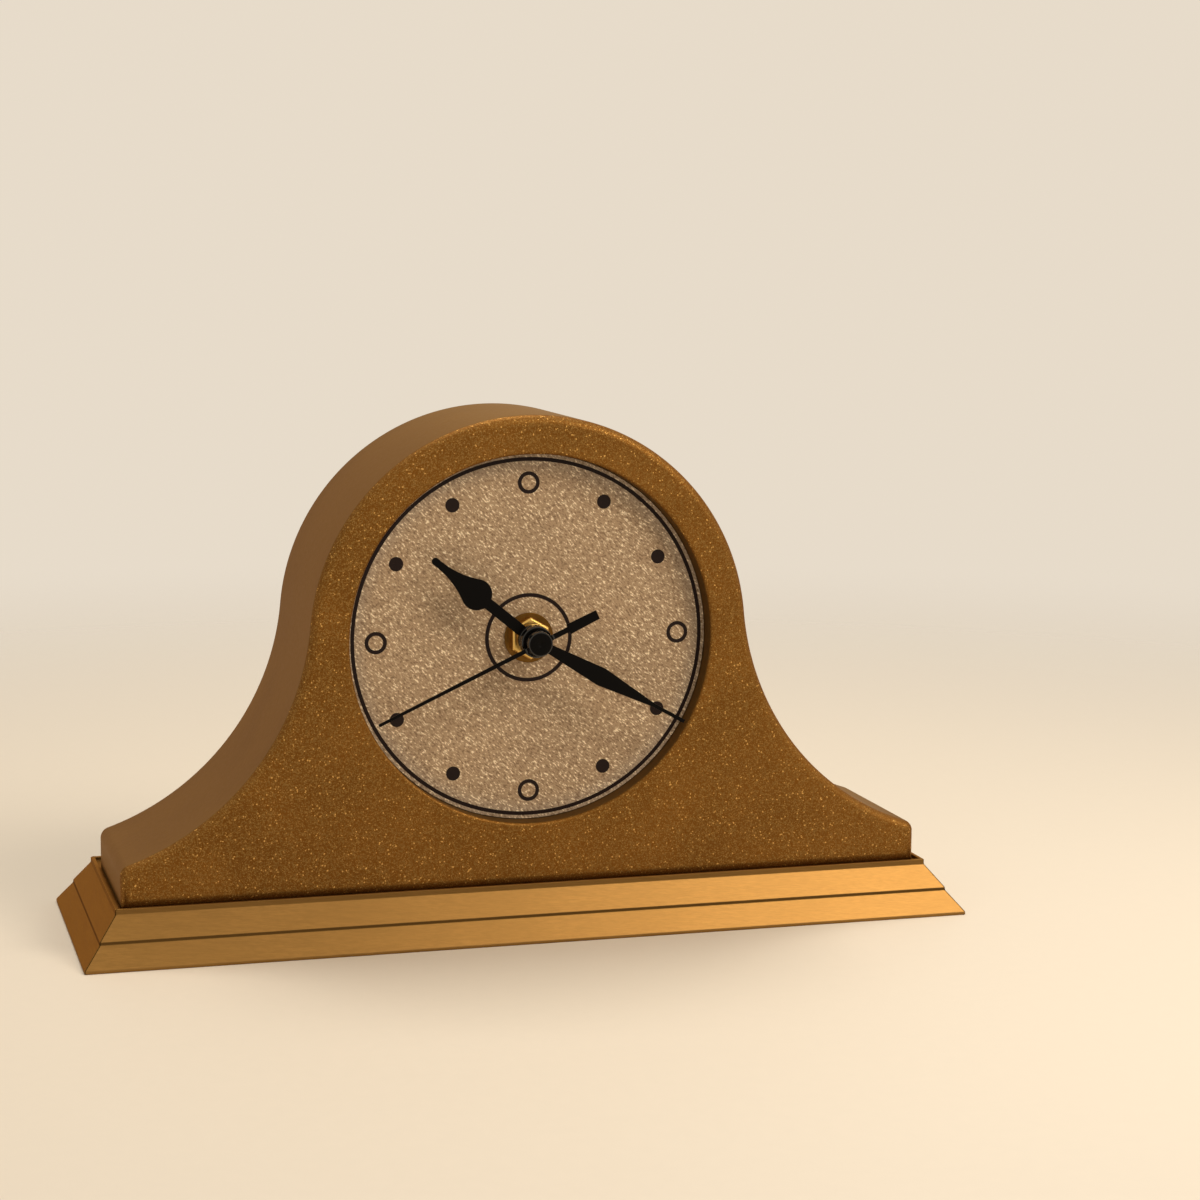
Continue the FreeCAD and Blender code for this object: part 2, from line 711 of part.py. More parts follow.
def add_posts(body, name, length, places):
    """Square moulded posts standing on the inside of the front plate."""
    sketch = new_sketch(body, name, offset="-train_front")
    for right, above in places:
        add_rectangle(sketch, f"{right} - post_width / 2", f"{above} - post_width / 2",
                      f"{right} + post_width / 2", f"{above} + post_width / 2")
    add_pad(body, sketch, length)


def movement_case():
    """The moulded front shell: train bay above, battery bay below, open to the back."""
    body = on_axis("movement_case")
    outer = new_sketch(body, "outer", offset="-movement_front")
    add_rounded_rectangle(outer, "-movement_half", "-movement_bottom", "movement_half", "axis_below_top",
                          "case_corner_radius")
    add_pad(body, outer, "movement_depth")
    train = new_sketch(body, "train_bay", offset="-train_front")
    add_rectangle(train, "-inner_half", "-divider_drop", "inner_half", "train_top")
    add_pocket(body, train, "movement_depth + overrun")
    battery = new_sketch(body, "battery_bay", offset="-train_front")
    add_rectangle(battery, "-inner_half", "-bay_bottom", "inner_half", "-bay_top")
    add_pocket(body, battery, "movement_depth + overrun")
    slots = new_sketch(body, "strip_slots", offset="-(cover_front - strip_edge_gap - strip_width)")
    slot_end = "(inner_half - contact_thickness - cover_clearance)"
    for hand in (-1, 1):
        add_rectangle(slots, f"{hand} * inner_half", "-(bay_top + overrun)", f"{hand} * {slot_end}",
                      "-(divider_drop - overrun)")
    add_pocket(body, slots, "movement_depth")
    left, right = "post_inset - mid_plate_left", "mid_plate_right - post_inset"
    add_posts(body, "cover_posts", "cover_front - train_front", [
        ("post_inset - inner_half", "train_top - post_inset"),
        ("inner_half - post_inset", "post_inset - divider_drop"),
        ("post_inset - inner_half", "post_inset - divider_drop"),
    ])
    add_posts(body, "plate_posts", "mid_plate_front - train_front", [
        (left, "mid_plate_top - post_inset"),
        (right, "mid_plate_top - post_inset"),
        (right, "-mid_plate_bottom / 3"),
        (left, "post_inset - mid_plate_bottom"),
    ])
    add_posts(body, "stator_posts", "stator_front - train_front", [
        ("rotor_x", "arm_top - stator_arm_width / 2"),
        ("rotor_x", "arm_bottom + stator_arm_width / 2"),
    ])
    add_posts(body, "rotor_boss", "arbor_front - train_front + pivot_depth", [("rotor_x", "rotor_z")])
    stud = new_sketch(body, "minute_stud", offset="-train_front")
    add_circle(stud, "stud_radius", "minute_x", "minute_z")
    add_pad(body, stud, "mid_plate_front - train_front")
    bore(body, "rotor_pivot", "train_arbor_radius + running_clearance", "arbor_front - running_clearance",
         "pivot_depth + overrun", "rotor_x", "rotor_z")
    bore(body, "bush_hole", "bush_radius", "movement_front - overrun", "case_wall + 2 * overrun")
    seat = new_sketch(body, "flange_seat", offset="bush_flange_thickness - train_front")
    half = "bush_flange_width / 2"
    add_rectangle(seat, f"-{half}", f"-{half}", half, half)
    add_pocket(body, seat, "bush_flange_thickness + overrun")
    bore(body, "setting_pivot", "setting_arbor_radius + running_clearance",
         "train_front - pivot_depth - running_clearance", "pivot_depth + overrun", "setting_x", "setting_z")


def movement_cover():
    """The back cover of the train bay, with blind pivot holes and pegs for the circuit board."""
    body = on_axis("movement_cover")
    plate = new_sketch(body, "plate", offset="-cover_front")
    reach = "(inner_half - cover_clearance)"
    add_rectangle(plate, f"-{reach}", "-(divider_drop - cover_clearance)", reach,
                  "train_top - cover_clearance")
    add_pad(body, plate, "case_wall")
    pegs = new_sketch(body, "pegs", offset="-cover_front")
    low, high = "circuit_top - board_height * 2 / 3", "circuit_top - board_height / 3"
    for along in ("circuit_right - board_width + circuit_peg_width", "circuit_right - circuit_peg_width"):
        add_rectangle(pegs, f"{along} - circuit_peg_width / 2", low, f"{along} + circuit_peg_width / 2", high)
    add_pad(body, pegs, "circuit_peg_length", toward_back=False)
    start, depth = "cover_front - overrun", "pivot_depth + running_clearance + overrun"
    for arbor in ("third", "intermediate", "rotor"):
        bore(body, f"{arbor}_pivot", "train_arbor_radius + running_clearance", start, depth, f"{arbor}_x",
             f"{arbor}_z")
    bore(body, "seconds_pivot", "seconds_arbor_radius + running_clearance", start, depth)
    bore(body, "setting_hole", "setting_arbor_radius + running_clearance", start, "case_wall + 2 * overrun",
         "setting_x", "setting_z")


def mid_plate():
    """The plate between the hands' gearing and the train, which carries the train's front pivots."""
    body = on_axis("mid_plate")
    plate = new_sketch(body, "plate", offset="-mid_plate_front")
    add_rectangle(plate, "-mid_plate_left", "-mid_plate_bottom", "mid_plate_right", "mid_plate_top")
    add_pad(body, plate, "mid_plate_thickness")
    start, depth = "mid_plate_front - overrun", "mid_plate_thickness + 2 * overrun"
    bore(body, "centre_hole", "cannon_radius + running_clearance", start, depth)
    for arbor in ("third", "intermediate"):
        bore(body, f"{arbor}_hole", "train_arbor_radius + running_clearance", start, depth, f"{arbor}_x",
             f"{arbor}_z")
    bore(body, "setting_hole", "setting_arbor_radius + running_clearance", start, depth, "setting_x",
         "setting_z")


# Wheels


def intermediate_wheel():
    """First step down from the rotor: a large wheel and a pinion on one arbor."""
    body = on_axis("intermediate_wheel", "intermediate_x", "intermediate_z")
    pad_disc(body, "arbor", "train_arbor_radius", "arbor_front", "arbor_rear - arbor_front")
    add_teeth(body, "wheel", "intermediate_teeth", "rotor_module", "rotor_bearing", "intermediate_layer",
              "wheel_thickness")
    add_teeth(body, "pinion", "going_leaves", "seconds_module",
              mesh_phase("intermediate_bearing", "0", "seconds_teeth", "going_leaves"),
              "seconds_layer - leaf_overhang", "layer_step + leaf_overhang")


def motor_rotor():
    """The magnet of the stepping motor with its pinion."""
    body = on_axis("motor_rotor", "rotor_x", "rotor_z")
    pad_disc(body, "arbor", "train_arbor_radius", "arbor_front", "arbor_rear - arbor_front")
    pad_disc(body, "magnet", "rotor_radius", "stator_front + (stator_thickness - rotor_length) / 2",
             "rotor_length")
    add_teeth(body, "pinion", "going_leaves", "rotor_module",
              mesh_phase("rotor_bearing", "rotor_bearing", "intermediate_teeth", "going_leaves"),
              "intermediate_layer - leaf_overhang", "wheel_thickness + 2 * leaf_overhang")


def seconds_wheel():
    """The wheel that turns once a minute, on the long arbor that carries the thin hand."""
    body = on_axis("seconds_wheel")
    pad_disc(body, "arbor", "seconds_arbor_radius", "-seconds_reach", "arbor_rear + seconds_reach")
    add_teeth(body, "wheel", "seconds_teeth", "seconds_module", "0", "seconds_layer", "wheel_thickness")
    add_teeth(body, "pinion", "going_leaves", "third_module", "third_bearing",
              "third_layer - leaf_overhang", "layer_step + leaf_overhang")


def third_wheel():
    """The wheel between the seconds wheel and the centre wheel."""
    body = on_axis("third_wheel", "third_x", "third_z")
    pad_disc(body, "arbor", "train_arbor_radius", "arbor_front", "arbor_rear - arbor_front")
    add_teeth(body, "wheel", "third_teeth", "third_module",
              mesh_phase("third_bearing", "third_bearing", "going_leaves", "third_teeth"),
              "third_layer", "wheel_thickness")
    add_teeth(body, "pinion", "going_leaves", "centre_module", "third_bearing + 180",
              "centre_layer - leaf_overhang", "layer_step + leaf_overhang")


def centre_wheel():
    """The hourly wheel; its hub grips the cannon with a slip fit, so that the hands can be set."""
    body = on_axis("centre_wheel")
    add_teeth(body, "wheel", "centre_teeth", "centre_module",
              mesh_phase("third_bearing + 180", "third_bearing + 180", "going_leaves", "centre_teeth"),
              "centre_layer", "wheel_thickness")
    bore(body, "slip_bore", "cannon_radius + push_clearance", "centre_layer - overrun",
         "wheel_thickness + 2 * overrun")


def minute_cannon():
    """The minute hand's pipe with its pinion; it ends in the centre wheel's slip bore."""
    body = on_axis("minute_cannon")
    pad_disc(body, "pipe", "cannon_radius", "-cannon_reach", "cannon_reach + centre_layer + wheel_thickness")
    add_teeth(body, "pinion", "cannon_leaves", "minute_module", "minute_bearing",
              "minute_layer - leaf_overhang", "wheel_thickness + 2 * leaf_overhang")
    bore(body, "bore", "seconds_arbor_radius + running_clearance", "-cannon_reach - overrun",
         "cannon_reach + centre_layer + wheel_thickness + 2 * overrun")


def minute_wheel():
    """The wheel that takes the cannon's turn down to the hour wheel, turning on a moulded stud."""
    body = on_axis("minute_wheel", "minute_x", "minute_z")
    add_teeth(body, "wheel", "minute_teeth", "minute_module",
              mesh_phase("minute_bearing", "minute_bearing", "cannon_leaves", "minute_teeth"),
              "minute_layer", "wheel_thickness")
    add_teeth(body, "pinion", "minute_leaves", "hour_module", "minute_bearing + 180",
              "hour_layer - leaf_overhang", "layer_step + leaf_overhang")
    bore(body, "stud_bore", "stud_radius + running_clearance", "hour_layer - overrun",
         "layer_step + wheel_thickness + 2 * overrun")


def hour_wheel():
    """The wheel that turns once in twelve hours, with the outermost pipe."""
    body = on_axis("hour_wheel")
    pad_disc(body, "pipe", "hour_pipe_radius", "-hour_pipe_reach", "hour_pipe_reach + hour_layer")
    add_teeth(body, "wheel", "hour_teeth", "hour_module",
              mesh_phase("minute_bearing + 180", "minute_bearing + 180", "minute_leaves", "hour_teeth"),
              "hour_layer", "wheel_thickness")
    bore(body, "bore", "cannon_radius + running_clearance", "-hour_pipe_reach - overrun",
         "hour_pipe_reach + hour_layer + wheel_thickness + 2 * overrun")


def setting_knob():
    """The knob on the back that turns the hands through the minute wheel."""
    body = on_axis("setting_knob", "setting_x", "setting_z")
    wheel_phase = mesh_phase("minute_bearing", "minute_bearing", "cannon_leaves", "minute_teeth")
    pad_disc(body, "arbor", "setting_arbor_radius", "train_front - pivot_depth",
             "movement_rear + knob_gap - train_front + pivot_depth")
    add_teeth(body, "pinion", "cannon_leaves", "minute_module",
              mesh_phase("setting_bearing", wheel_phase, "minute_teeth", "cannon_leaves"),
              "minute_layer - leaf_overhang", "wheel_thickness + 2 * leaf_overhang")
    add_teeth(body, "grip", "knob_ridges", "knob_module", "0", "movement_rear + knob_gap", "knob_thickness")


# Motor and electrics


def motor_stator():
    """The soft iron plate round the rotor, with an arm to each end of the coil."""
    body = on_axis("motor_stator")
    spine = new_sketch(body, "spine", offset="-stator_front")
    half = "stator_spine_width / 2"
    left = "coil_x - core_width / 2"
    add_polygon(spine, [
        (left, "arm_bottom"),
        (f"rotor_x + {half}", "arm_bottom"),
        (f"rotor_x + {half}", "arm_top"),
        (left, "arm_top"),
        (left, "arm_top - stator_arm_width"),
        (f"rotor_x - {half}", "arm_top - stator_arm_width"),
        (f"rotor_x - {half}", "arm_bottom + stator_arm_width"),
        (left, "arm_bottom + stator_arm_width"),
    ])
    add_pad(body, spine, "stator_thickness")
    eye = new_sketch(body, "eye", offset="-stator_front")
    add_rectangle(eye, "rotor_x - stator_eye_width / 2", "rotor_z - stator_eye_width / 2",
                  "rotor_x + stator_eye_width / 2", "rotor_z + stator_eye_width / 2")
    add_pad(body, eye, "stator_thickness")
    bore(body, "rotor_hole", "rotor_radius + rotor_gap", "stator_front - overrun",
         "stator_thickness + 2 * overrun", "rotor_x", "rotor_z")


def coil_core():
    """The iron bar through the coil, lying on the ends of the stator's arms."""
    body = on_axis("coil_core")
    bar = new_sketch(body, "bar", offset="-core_front")
    add_rectangle(bar, "coil_x - core_width / 2", "arm_bottom", "coil_x + core_width / 2", "arm_top")
    add_pad(body, bar, "stator_thickness")


def add_sleeve(body, name, low, high, reach, hollow):
    """An upright sleeve between two heights; reach and hollow are its sides' distances from the core."""
    sketch = new_sketch(body, name, "XY_Plane", low)
    sides = ("core_width / 2", "stator_thickness / 2")
    outer = [f"({side} + {reach})" for side in sides]
    inner = [f"({side} + {hollow})" for side in sides]
    for width, depth in (outer, inner):
        add_rectangle(sketch, f"-{width}", f"-{depth}", width, depth)
    add_pad(body, sketch, f"{high} - ({low})", toward_back=False)


def coil_bobbin():
    """The plastic bobbin: a thin sleeve on the core with a flange at each end."""
    body = new_body("coil_bobbin", "coil_x", "dial_y + coil_behind", "axis_height")
    hollow = "push_clearance"
    add_sleeve(body, "sleeve", "coil_bottom", "coil_top", "bobbin_wall", hollow)
    add_sleeve(body, "lower_flange", "coil_bottom", "coil_bottom + bobbin_wall", "coil_build", hollow)
    add_sleeve(body, "upper_flange", "coil_top - bobbin_wall", "coil_top", "coil_build", hollow)


def coil_winding():
    """The copper winding between the bobbin's flanges."""
    body = new_body("coil_winding", "coil_x", "dial_y + coil_behind", "axis_height")
    add_sleeve(body, "winding", "coil_bottom + bobbin_wall", "coil_top - bobbin_wall",
               "coil_build - bobbin_wall / 2", "bobbin_wall + push_clearance")


def circuit_board():
    """The small board on the cover's pegs, with its sealed chip."""
    body = on_axis("circuit_board")
    board = new_sketch(body, "board", offset="-circuit_behind")
    add_rectangle(board, "circuit_right - board_width", "circuit_top - board_height", "circuit_right",
                  "circuit_top")
    add_pad(body, board, "circuit_thickness")
    chip = new_sketch(body, "chip", offset="-circuit_behind")
    middle_x, middle_z = "(circuit_right - board_width / 4)", "(circuit_top - board_height / 2)"
    add_rectangle(chip, f"{middle_x} - chip_width / 2", f"{middle_z} - chip_width / 2",
                  f"{middle_x} + chip_width / 2", f"{middle_z} + chip_width / 2")
    add_pad(body, chip, "chip_height", toward_back=False)


def quartz_crystal():
    """The crystal's can, lying on the front of the circuit board."""
    body = on_axis("quartz_crystal")
    can = new_sketch(body, "can", "YZ_Plane", "circuit_right - board_width * 3 / 4 - crystal_length / 2")
    add_circle(can, "crystal_radius", "circuit_behind - crystal_radius - push_clearance",
               "circuit_top - board_height / 2")
    add_pad(body, can, "crystal_length", toward_back=False)


def battery_cell():
    """One AA cell with its nub to the right."""
    body = on_axis("battery_cell")
    can = new_sketch(body, "can", "YZ_Plane", "-battery_length / 2")
    add_circle(can, "battery_radius", "battery_behind", "-battery_drop")
    add_pad(body, can, "battery_length - battery_nub_length", toward_back=False)
    nub = new_sketch(body, "nub", "YZ_Plane", "battery_length / 2 - battery_nub_length")
    add_circle(nub, "battery_nub_radius", "battery_behind", "-battery_drop")
    add_pad(body, nub, "battery_nub_length", toward_back=False)


def contact_strip(name, hand, top):
    """A sheet metal contact along one end of the bay, with a strip up into the train bay."""
    body = on_axis(name)
    outer, inner = f"{hand} * inner_half", f"{hand} * (inner_half - contact_thickness)"
    plate = new_sketch(body, "plate", offset="contact_width / 2 - battery_behind")
    add_rectangle(plate, outer, "-(battery_drop + contact_width / 2)", inner,
                  "-(battery_drop - contact_width / 2)")
    add_pad(body, plate, "contact_width")
    strip = new_sketch(body, "strip", offset="-(cover_front - strip_edge_gap - strip_width)")
    add_rectangle(strip, outer, "-battery_drop", inner, top)
    add_pad(body, strip, "strip_width")
    return body


def battery_contacts():
    """The plain contact at the nub, and the sprung one at the flat end."""
    plus = contact_strip("positive_contact", 1, "circuit_top - board_height / 2")
    bump = new_sketch(plus, "bump", offset="contact_bump / 2 - battery_behind")
    add_polygon(bump, [("battery_length / 2", "-(battery_drop + contact_bump / 4)"),
                       ("inner_half - contact_thickness", "-(battery_drop + contact_bump / 2)"),
                       ("inner_half - contact_thickness", "-(battery_drop - contact_bump / 2)"),
                       ("battery_length / 2", "-(battery_drop - contact_bump / 4)")])
    add_pad(plus, bump, "contact_bump")
    minus = contact_strip("negative_contact", -1, "train_top")
    bridge = new_sketch(minus, "bridge", offset="-(cover_front - strip_edge_gap - strip_width)")
    add_rectangle(bridge, "-inner_half", "train_top - contact_thickness", "circuit_right - board_width",
                  "train_top")
    add_pad(minus, bridge, "strip_width")
    spring = new_sketch(minus, "spring", offset="spring_width / 2 - battery_behind")
    root, reach = "-(inner_half - contact_thickness)", "-battery_length / 2"
    low, high = "-(battery_drop + contact_width / 2)", "-(battery_drop - contact_width / 4)"
    under = f"{high} - contact_thickness"
    add_polygon(spring, [(root, low), (reach, high), (root, high), (root, under),
                         (f"({root} + ({reach})) / 2", under), (root, f"{low} + contact_thickness")])
    add_pad(minus, spring, "spring_width")


# Hands


def hub(body, name, radius, ahead, length, pipe_radius, bored_to):
    """A hand's hub, bored from behind for the pipe that it is pushed on; counts are ahead of the dial."""
    sketch = new_sketch(body, name, offset=ahead)
    add_circle(sketch, radius)
    add_pad(body, sketch, length, toward_back=False)
    hole = new_sketch(body, f"{name}_bore", offset=f"{ahead} - overrun")
    add_circle(hole, f"{pipe_radius} + push_clearance")
    add_pocket(body, hole, f"{bored_to} - ({ahead}) + overrun", toward_back=False)


def hour_hand():
    """The leaf-shaped hour hand: a stem, a round bulb and hollow flanks to a blunt tip."""
    body = on_axis("hour_hand")
    leaf = new_sketch(body, "leaf", offset="hour_hub_ahead + hour_hub_length / 2", turn="-hour_angle")
    up = Vector(0, 0, 1)
    bulb, tip = value_of("hour_bulb_radius"), value_of("hour_tip_radius")
    flank = value_of("hour_flank_radius")
    stem = value_of("hour_stem_width / 2")
    low, high = value_of("hour_bulb_distance"), value_of("hour_length - hour_tip_radius")
    span = high - low
    along = ((flank + bulb) ** 2 - (flank + tip) ** 2 + span ** 2) / (2 * span)
    aside = math.sqrt((flank + bulb) ** 2 - along ** 2)
    at_bulb = math.atan2(along, aside)
    at_tip = math.atan2(along - span, aside)
    notch = -math.acos(stem / bulb)
    notch_height = low + bulb * math.sin(notch)
    curves = [
        Part.LineSegment(Vector(-stem, 0, 0), Vector(stem, 0, 0)),
        Part.LineSegment(Vector(stem, 0, 0), Vector(stem, notch_height, 0)),
        Part.ArcOfCircle(Part.Circle(Vector(0, low, 0), up, bulb), notch, at_bulb),
        Part.ArcOfCircle(Part.Circle(Vector(aside, low + along, 0), up, flank), at_tip + math.pi,
                         at_bulb + math.pi),
        Part.ArcOfCircle(Part.Circle(Vector(0, high, 0), up, tip), at_tip, math.pi - at_tip),
        Part.ArcOfCircle(Part.Circle(Vector(-aside, low + along, 0), up, flank), -at_bulb, -at_tip),
        Part.ArcOfCircle(Part.Circle(Vector(0, low, 0), up, bulb), math.pi - at_bulb, math.pi - notch),
        Part.LineSegment(Vector(-stem, notch_height, 0), Vector(-stem, 0, 0)),
    ]
    root, right_stem, right_bulb, right_flank, tip_arc, left_flank, left_bulb, left_stem = (
        leaf.addGeometry(curve) for curve in curves)
    join = leaf.addConstraint
    join(Sketcher.Constraint("Coincident", root, 2, right_stem, 1))
    join(Sketcher.Constraint("Coincident", right_stem, 2, right_bulb, 1))
    join(Sketcher.Constraint("Tangent", right_bulb, 2, right_flank, 2))
    join(Sketcher.Constraint("Tangent", right_flank, 1, tip_arc, 1))
    join(Sketcher.Constraint("Tangent", tip_arc, 2, left_flank, 2))
    join(Sketcher.Constraint("Tangent", left_flank, 1, left_bulb, 1))
    join(Sketcher.Constraint("Coincident", left_bulb, 2, left_stem, 1))
    join(Sketcher.Constraint("Coincident", left_stem, 2, root, 1))
    join(Sketcher.Constraint("Vertical", right_stem))
    join(Sketcher.Constraint("Vertical", left_stem))
    pin_point(leaf, root, 1, "-hour_stem_width / 2", "0")
    pin_point(leaf, root, 2, "hour_stem_width / 2", "0")
    for curve in (right_bulb, left_bulb):
        pin_point(leaf, curve, 3, "0", "hour_bulb_distance")
        size_constraint(leaf, "Radius", (curve,), "hour_bulb_radius")
    for curve in (right_flank, left_flank):
        size_constraint(leaf, "Radius", (curve,), "hour_flank_radius")
    pin_point(leaf, tip_arc, 3, "0", "hour_length - hour_tip_radius")
    size_constraint(leaf, "Radius", (tip_arc,), "hour_tip_radius")
    add_pad(body, leaf, "hand_thickness", toward_back=False)
    hub(body, "hub", "hour_hub_radius", "hour_hub_ahead", "hour_hub_length", "hour_pipe_radius",
        "hour_hub_ahead + hour_hub_length + overrun")


def minute_hand():
    """The long lozenge-shaped minute hand."""
    body = on_axis("minute_hand")
    blade = new_sketch(body, "blade", offset="minute_hub_ahead + minute_hub_length / 2", turn="-minute_angle")
    right = [("minute_root_width / 2", "0"), ("minute_widest / 2", "minute_widest_distance"),
             ("minute_tip_width / 2", "minute_neck_distance"), ("minute_tip_width / 2", "minute_length")]
    left = [(f"-{across}", along) for across, along in reversed(right)]
    add_polygon(blade, right + left)
    add_pad(body, blade, "hand_thickness", toward_back=False)
    reach = math.hypot(value_of("minute_widest / 2"), value_of("minute_widest_distance"))
    dress(body, "Fillet", "shoulders", "minute_shoulder_radius",
          lambda edge: runs_back(edge) and near(math.hypot(edge.BoundBox.XMin, edge.BoundBox.ZMin), reach))
    hub(body, "hub", "minute_hub_radius", "minute_hub_ahead", "minute_hub_length", "cannon_radius",
        "minute_hub_ahead + minute_hub_length + overrun")


def second_hand():
    """The thin seconds hand with its counterweight, on a bevelled cap that closes the stack."""
    body = on_axis("second_hand")
    needle = new_sketch(body, "needle", offset="seconds_cap_ahead + seconds_cap_length / 2",
                        turn="-seconds_angle")
    weight_start = "-(seconds_tail_length - seconds_weight_length)"
    right = [("seconds_weight_width / 2", "-seconds_tail_length"), ("seconds_weight_width / 2", weight_start),
             ("seconds_neck_width / 2", weight_start), ("seconds_neck_width / 2", "0"),
             ("seconds_width / 2", "0"), ("seconds_width / 2", "seconds_length")]
    left = [(f"-{across}", along) for across, along in reversed(right)]
    add_polygon(needle, right + left)
    add_pad(body, needle, "hand_thickness", toward_back=False)
    hub(body, "cap", "seconds_cap_radius", "seconds_cap_ahead", "seconds_cap_length", "seconds_arbor_radius",
        "seconds_reach + push_clearance")
    front = -value_of("seconds_cap_ahead + seconds_cap_length")
    dress(body, "Chamfer", "cap_edge", "cap_bevel", lambda edge: lies_at(edge, front))


def build_pieces():
    """Every piece of the clock, from the table upwards and from the dial back."""
    base_moulding("base_front", True, -1)
    base_moulding("base_rear", True, 1)
    base_moulding("base_left", False, -1)
    base_moulding("base_right", False, 1)
    base_board()
    case_body()
    case_screws()
    leather_dial()
    rubber_washer()
    brass_washer()
    hex_nut()
    threaded_bush()
    movement_case()
    movement_cover()
    mid_plate()
    motor_rotor()
    intermediate_wheel()
    seconds_wheel()
    third_wheel()
    centre_wheel()
    minute_cannon()
    minute_wheel()
    hour_wheel()
    setting_knob()
    motor_stator()
    coil_core()
    coil_bobbin()
    coil_winding()
    circuit_board()
    quartz_crystal()
    battery_cell()
    battery_contacts()
    hour_hand()
    minute_hand()
    second_hand()
    doc.recompute()


def check_and_write():
    """Refuses a failed feature or a bad shape, then writes one file for each piece."""
    for item in doc.Objects:
        if "Invalid" in item.State or "Error" in item.State:
            raise RuntimeError(f"{item.Name} failed: {item.State}")
    pieces = [item for item in doc.Objects if item.TypeId == "PartDesign::Body"]
    for piece in pieces:
        if piece.Shape.isNull() or not piece.Shape.isValid() or not piece.Shape.Solids:
            raise RuntimeError(f"{piece.Label} has no valid shape")
    os.makedirs("parts", exist_ok=True)
    for piece in pieces:
        piece.Shape.exportStep(f"parts/{piece.Label}.step")
        print(f"{piece.Label}: {len(piece.Shape.Solids)} solid, {piece.Shape.Volume:.1f} mm3")


fill_sheet()
build_pieces()
check_and_write()
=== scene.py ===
import json
import math

import bmesh
import bpy
from bpy.props import FloatProperty, FloatVectorProperty, PointerProperty
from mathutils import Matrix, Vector

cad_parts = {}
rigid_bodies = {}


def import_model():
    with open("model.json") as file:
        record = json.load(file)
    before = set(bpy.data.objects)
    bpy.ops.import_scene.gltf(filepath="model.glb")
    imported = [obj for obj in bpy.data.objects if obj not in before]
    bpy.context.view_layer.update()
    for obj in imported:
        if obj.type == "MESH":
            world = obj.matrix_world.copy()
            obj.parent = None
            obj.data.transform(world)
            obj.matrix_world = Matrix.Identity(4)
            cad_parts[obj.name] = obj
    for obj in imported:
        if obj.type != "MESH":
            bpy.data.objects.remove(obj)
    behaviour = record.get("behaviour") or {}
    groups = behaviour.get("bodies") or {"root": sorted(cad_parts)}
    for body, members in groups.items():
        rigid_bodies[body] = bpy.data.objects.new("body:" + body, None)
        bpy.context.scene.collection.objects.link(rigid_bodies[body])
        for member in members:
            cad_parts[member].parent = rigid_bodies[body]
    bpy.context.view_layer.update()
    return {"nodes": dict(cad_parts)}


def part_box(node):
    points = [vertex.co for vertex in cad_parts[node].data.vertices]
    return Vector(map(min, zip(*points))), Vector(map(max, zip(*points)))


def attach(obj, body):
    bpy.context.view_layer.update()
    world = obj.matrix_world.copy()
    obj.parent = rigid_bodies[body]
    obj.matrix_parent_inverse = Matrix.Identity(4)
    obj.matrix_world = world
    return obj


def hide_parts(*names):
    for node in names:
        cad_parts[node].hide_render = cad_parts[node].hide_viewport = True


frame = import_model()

bl_info = {
    "name": "Tambour shelf clock",
    "version": (1, 0, 0),
    "blender": (4, 5, 0),
    "location": "3D View > Sidebar > Clock",
    "description": "Models and finishes the pieces of a humped shelf clock round its fixed frame",
    "category": "Object",
}

MM = 0.001
TURN = 2 * math.pi
# Where a round's middle lies in from its corner, as a share of its radius
HALFWAY = 0.29
NEAR = 0.01 * MM
WELD = 0.001 * MM
FRONTWARD = (math.pi / 2, 0, 0)
AHEAD = Vector((0, -1, 0))
UPWARD = Vector((0, 0, 1))
RIGHTWARD = Vector((1, 0, 0))
CLOCKWISE = Vector((0, 1, 0))

# Places that the frame gives
CASE_LOW, CASE_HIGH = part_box("case_body")
BASE_LOW, BASE_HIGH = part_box("base_front")
DIAL_LOW, DIAL_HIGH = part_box("leather_dial")
WASHER_LOW, WASHER_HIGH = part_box("brass_washer")
NUT_LOW, NUT_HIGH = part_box("hex_nut")
AXIS_HEIGHT = (DIAL_LOW.z + DIAL_HIGH.z) / 2
DIAL_FACE = DIAL_LOW.y


def length(name, about, millimetres):
    """A length that a user may change, given here in millimetres."""
    return FloatProperty(name=name, description=about, default=millimetres * MM, unit="LENGTH", precision=5)


def angle(name, about, degrees):
    """An angle that a user may change, given here in degrees."""
    return FloatProperty(name=name, description=about, default=math.radians(degrees), subtype="ANGLE")


def colour(name, about, red, green, blue):
    """A colour that a user may change."""
    return FloatVectorProperty(name=name, description=about, default=(red, green, blue), subtype="COLOR",
                               size=3, min=0.0, max=1.0)


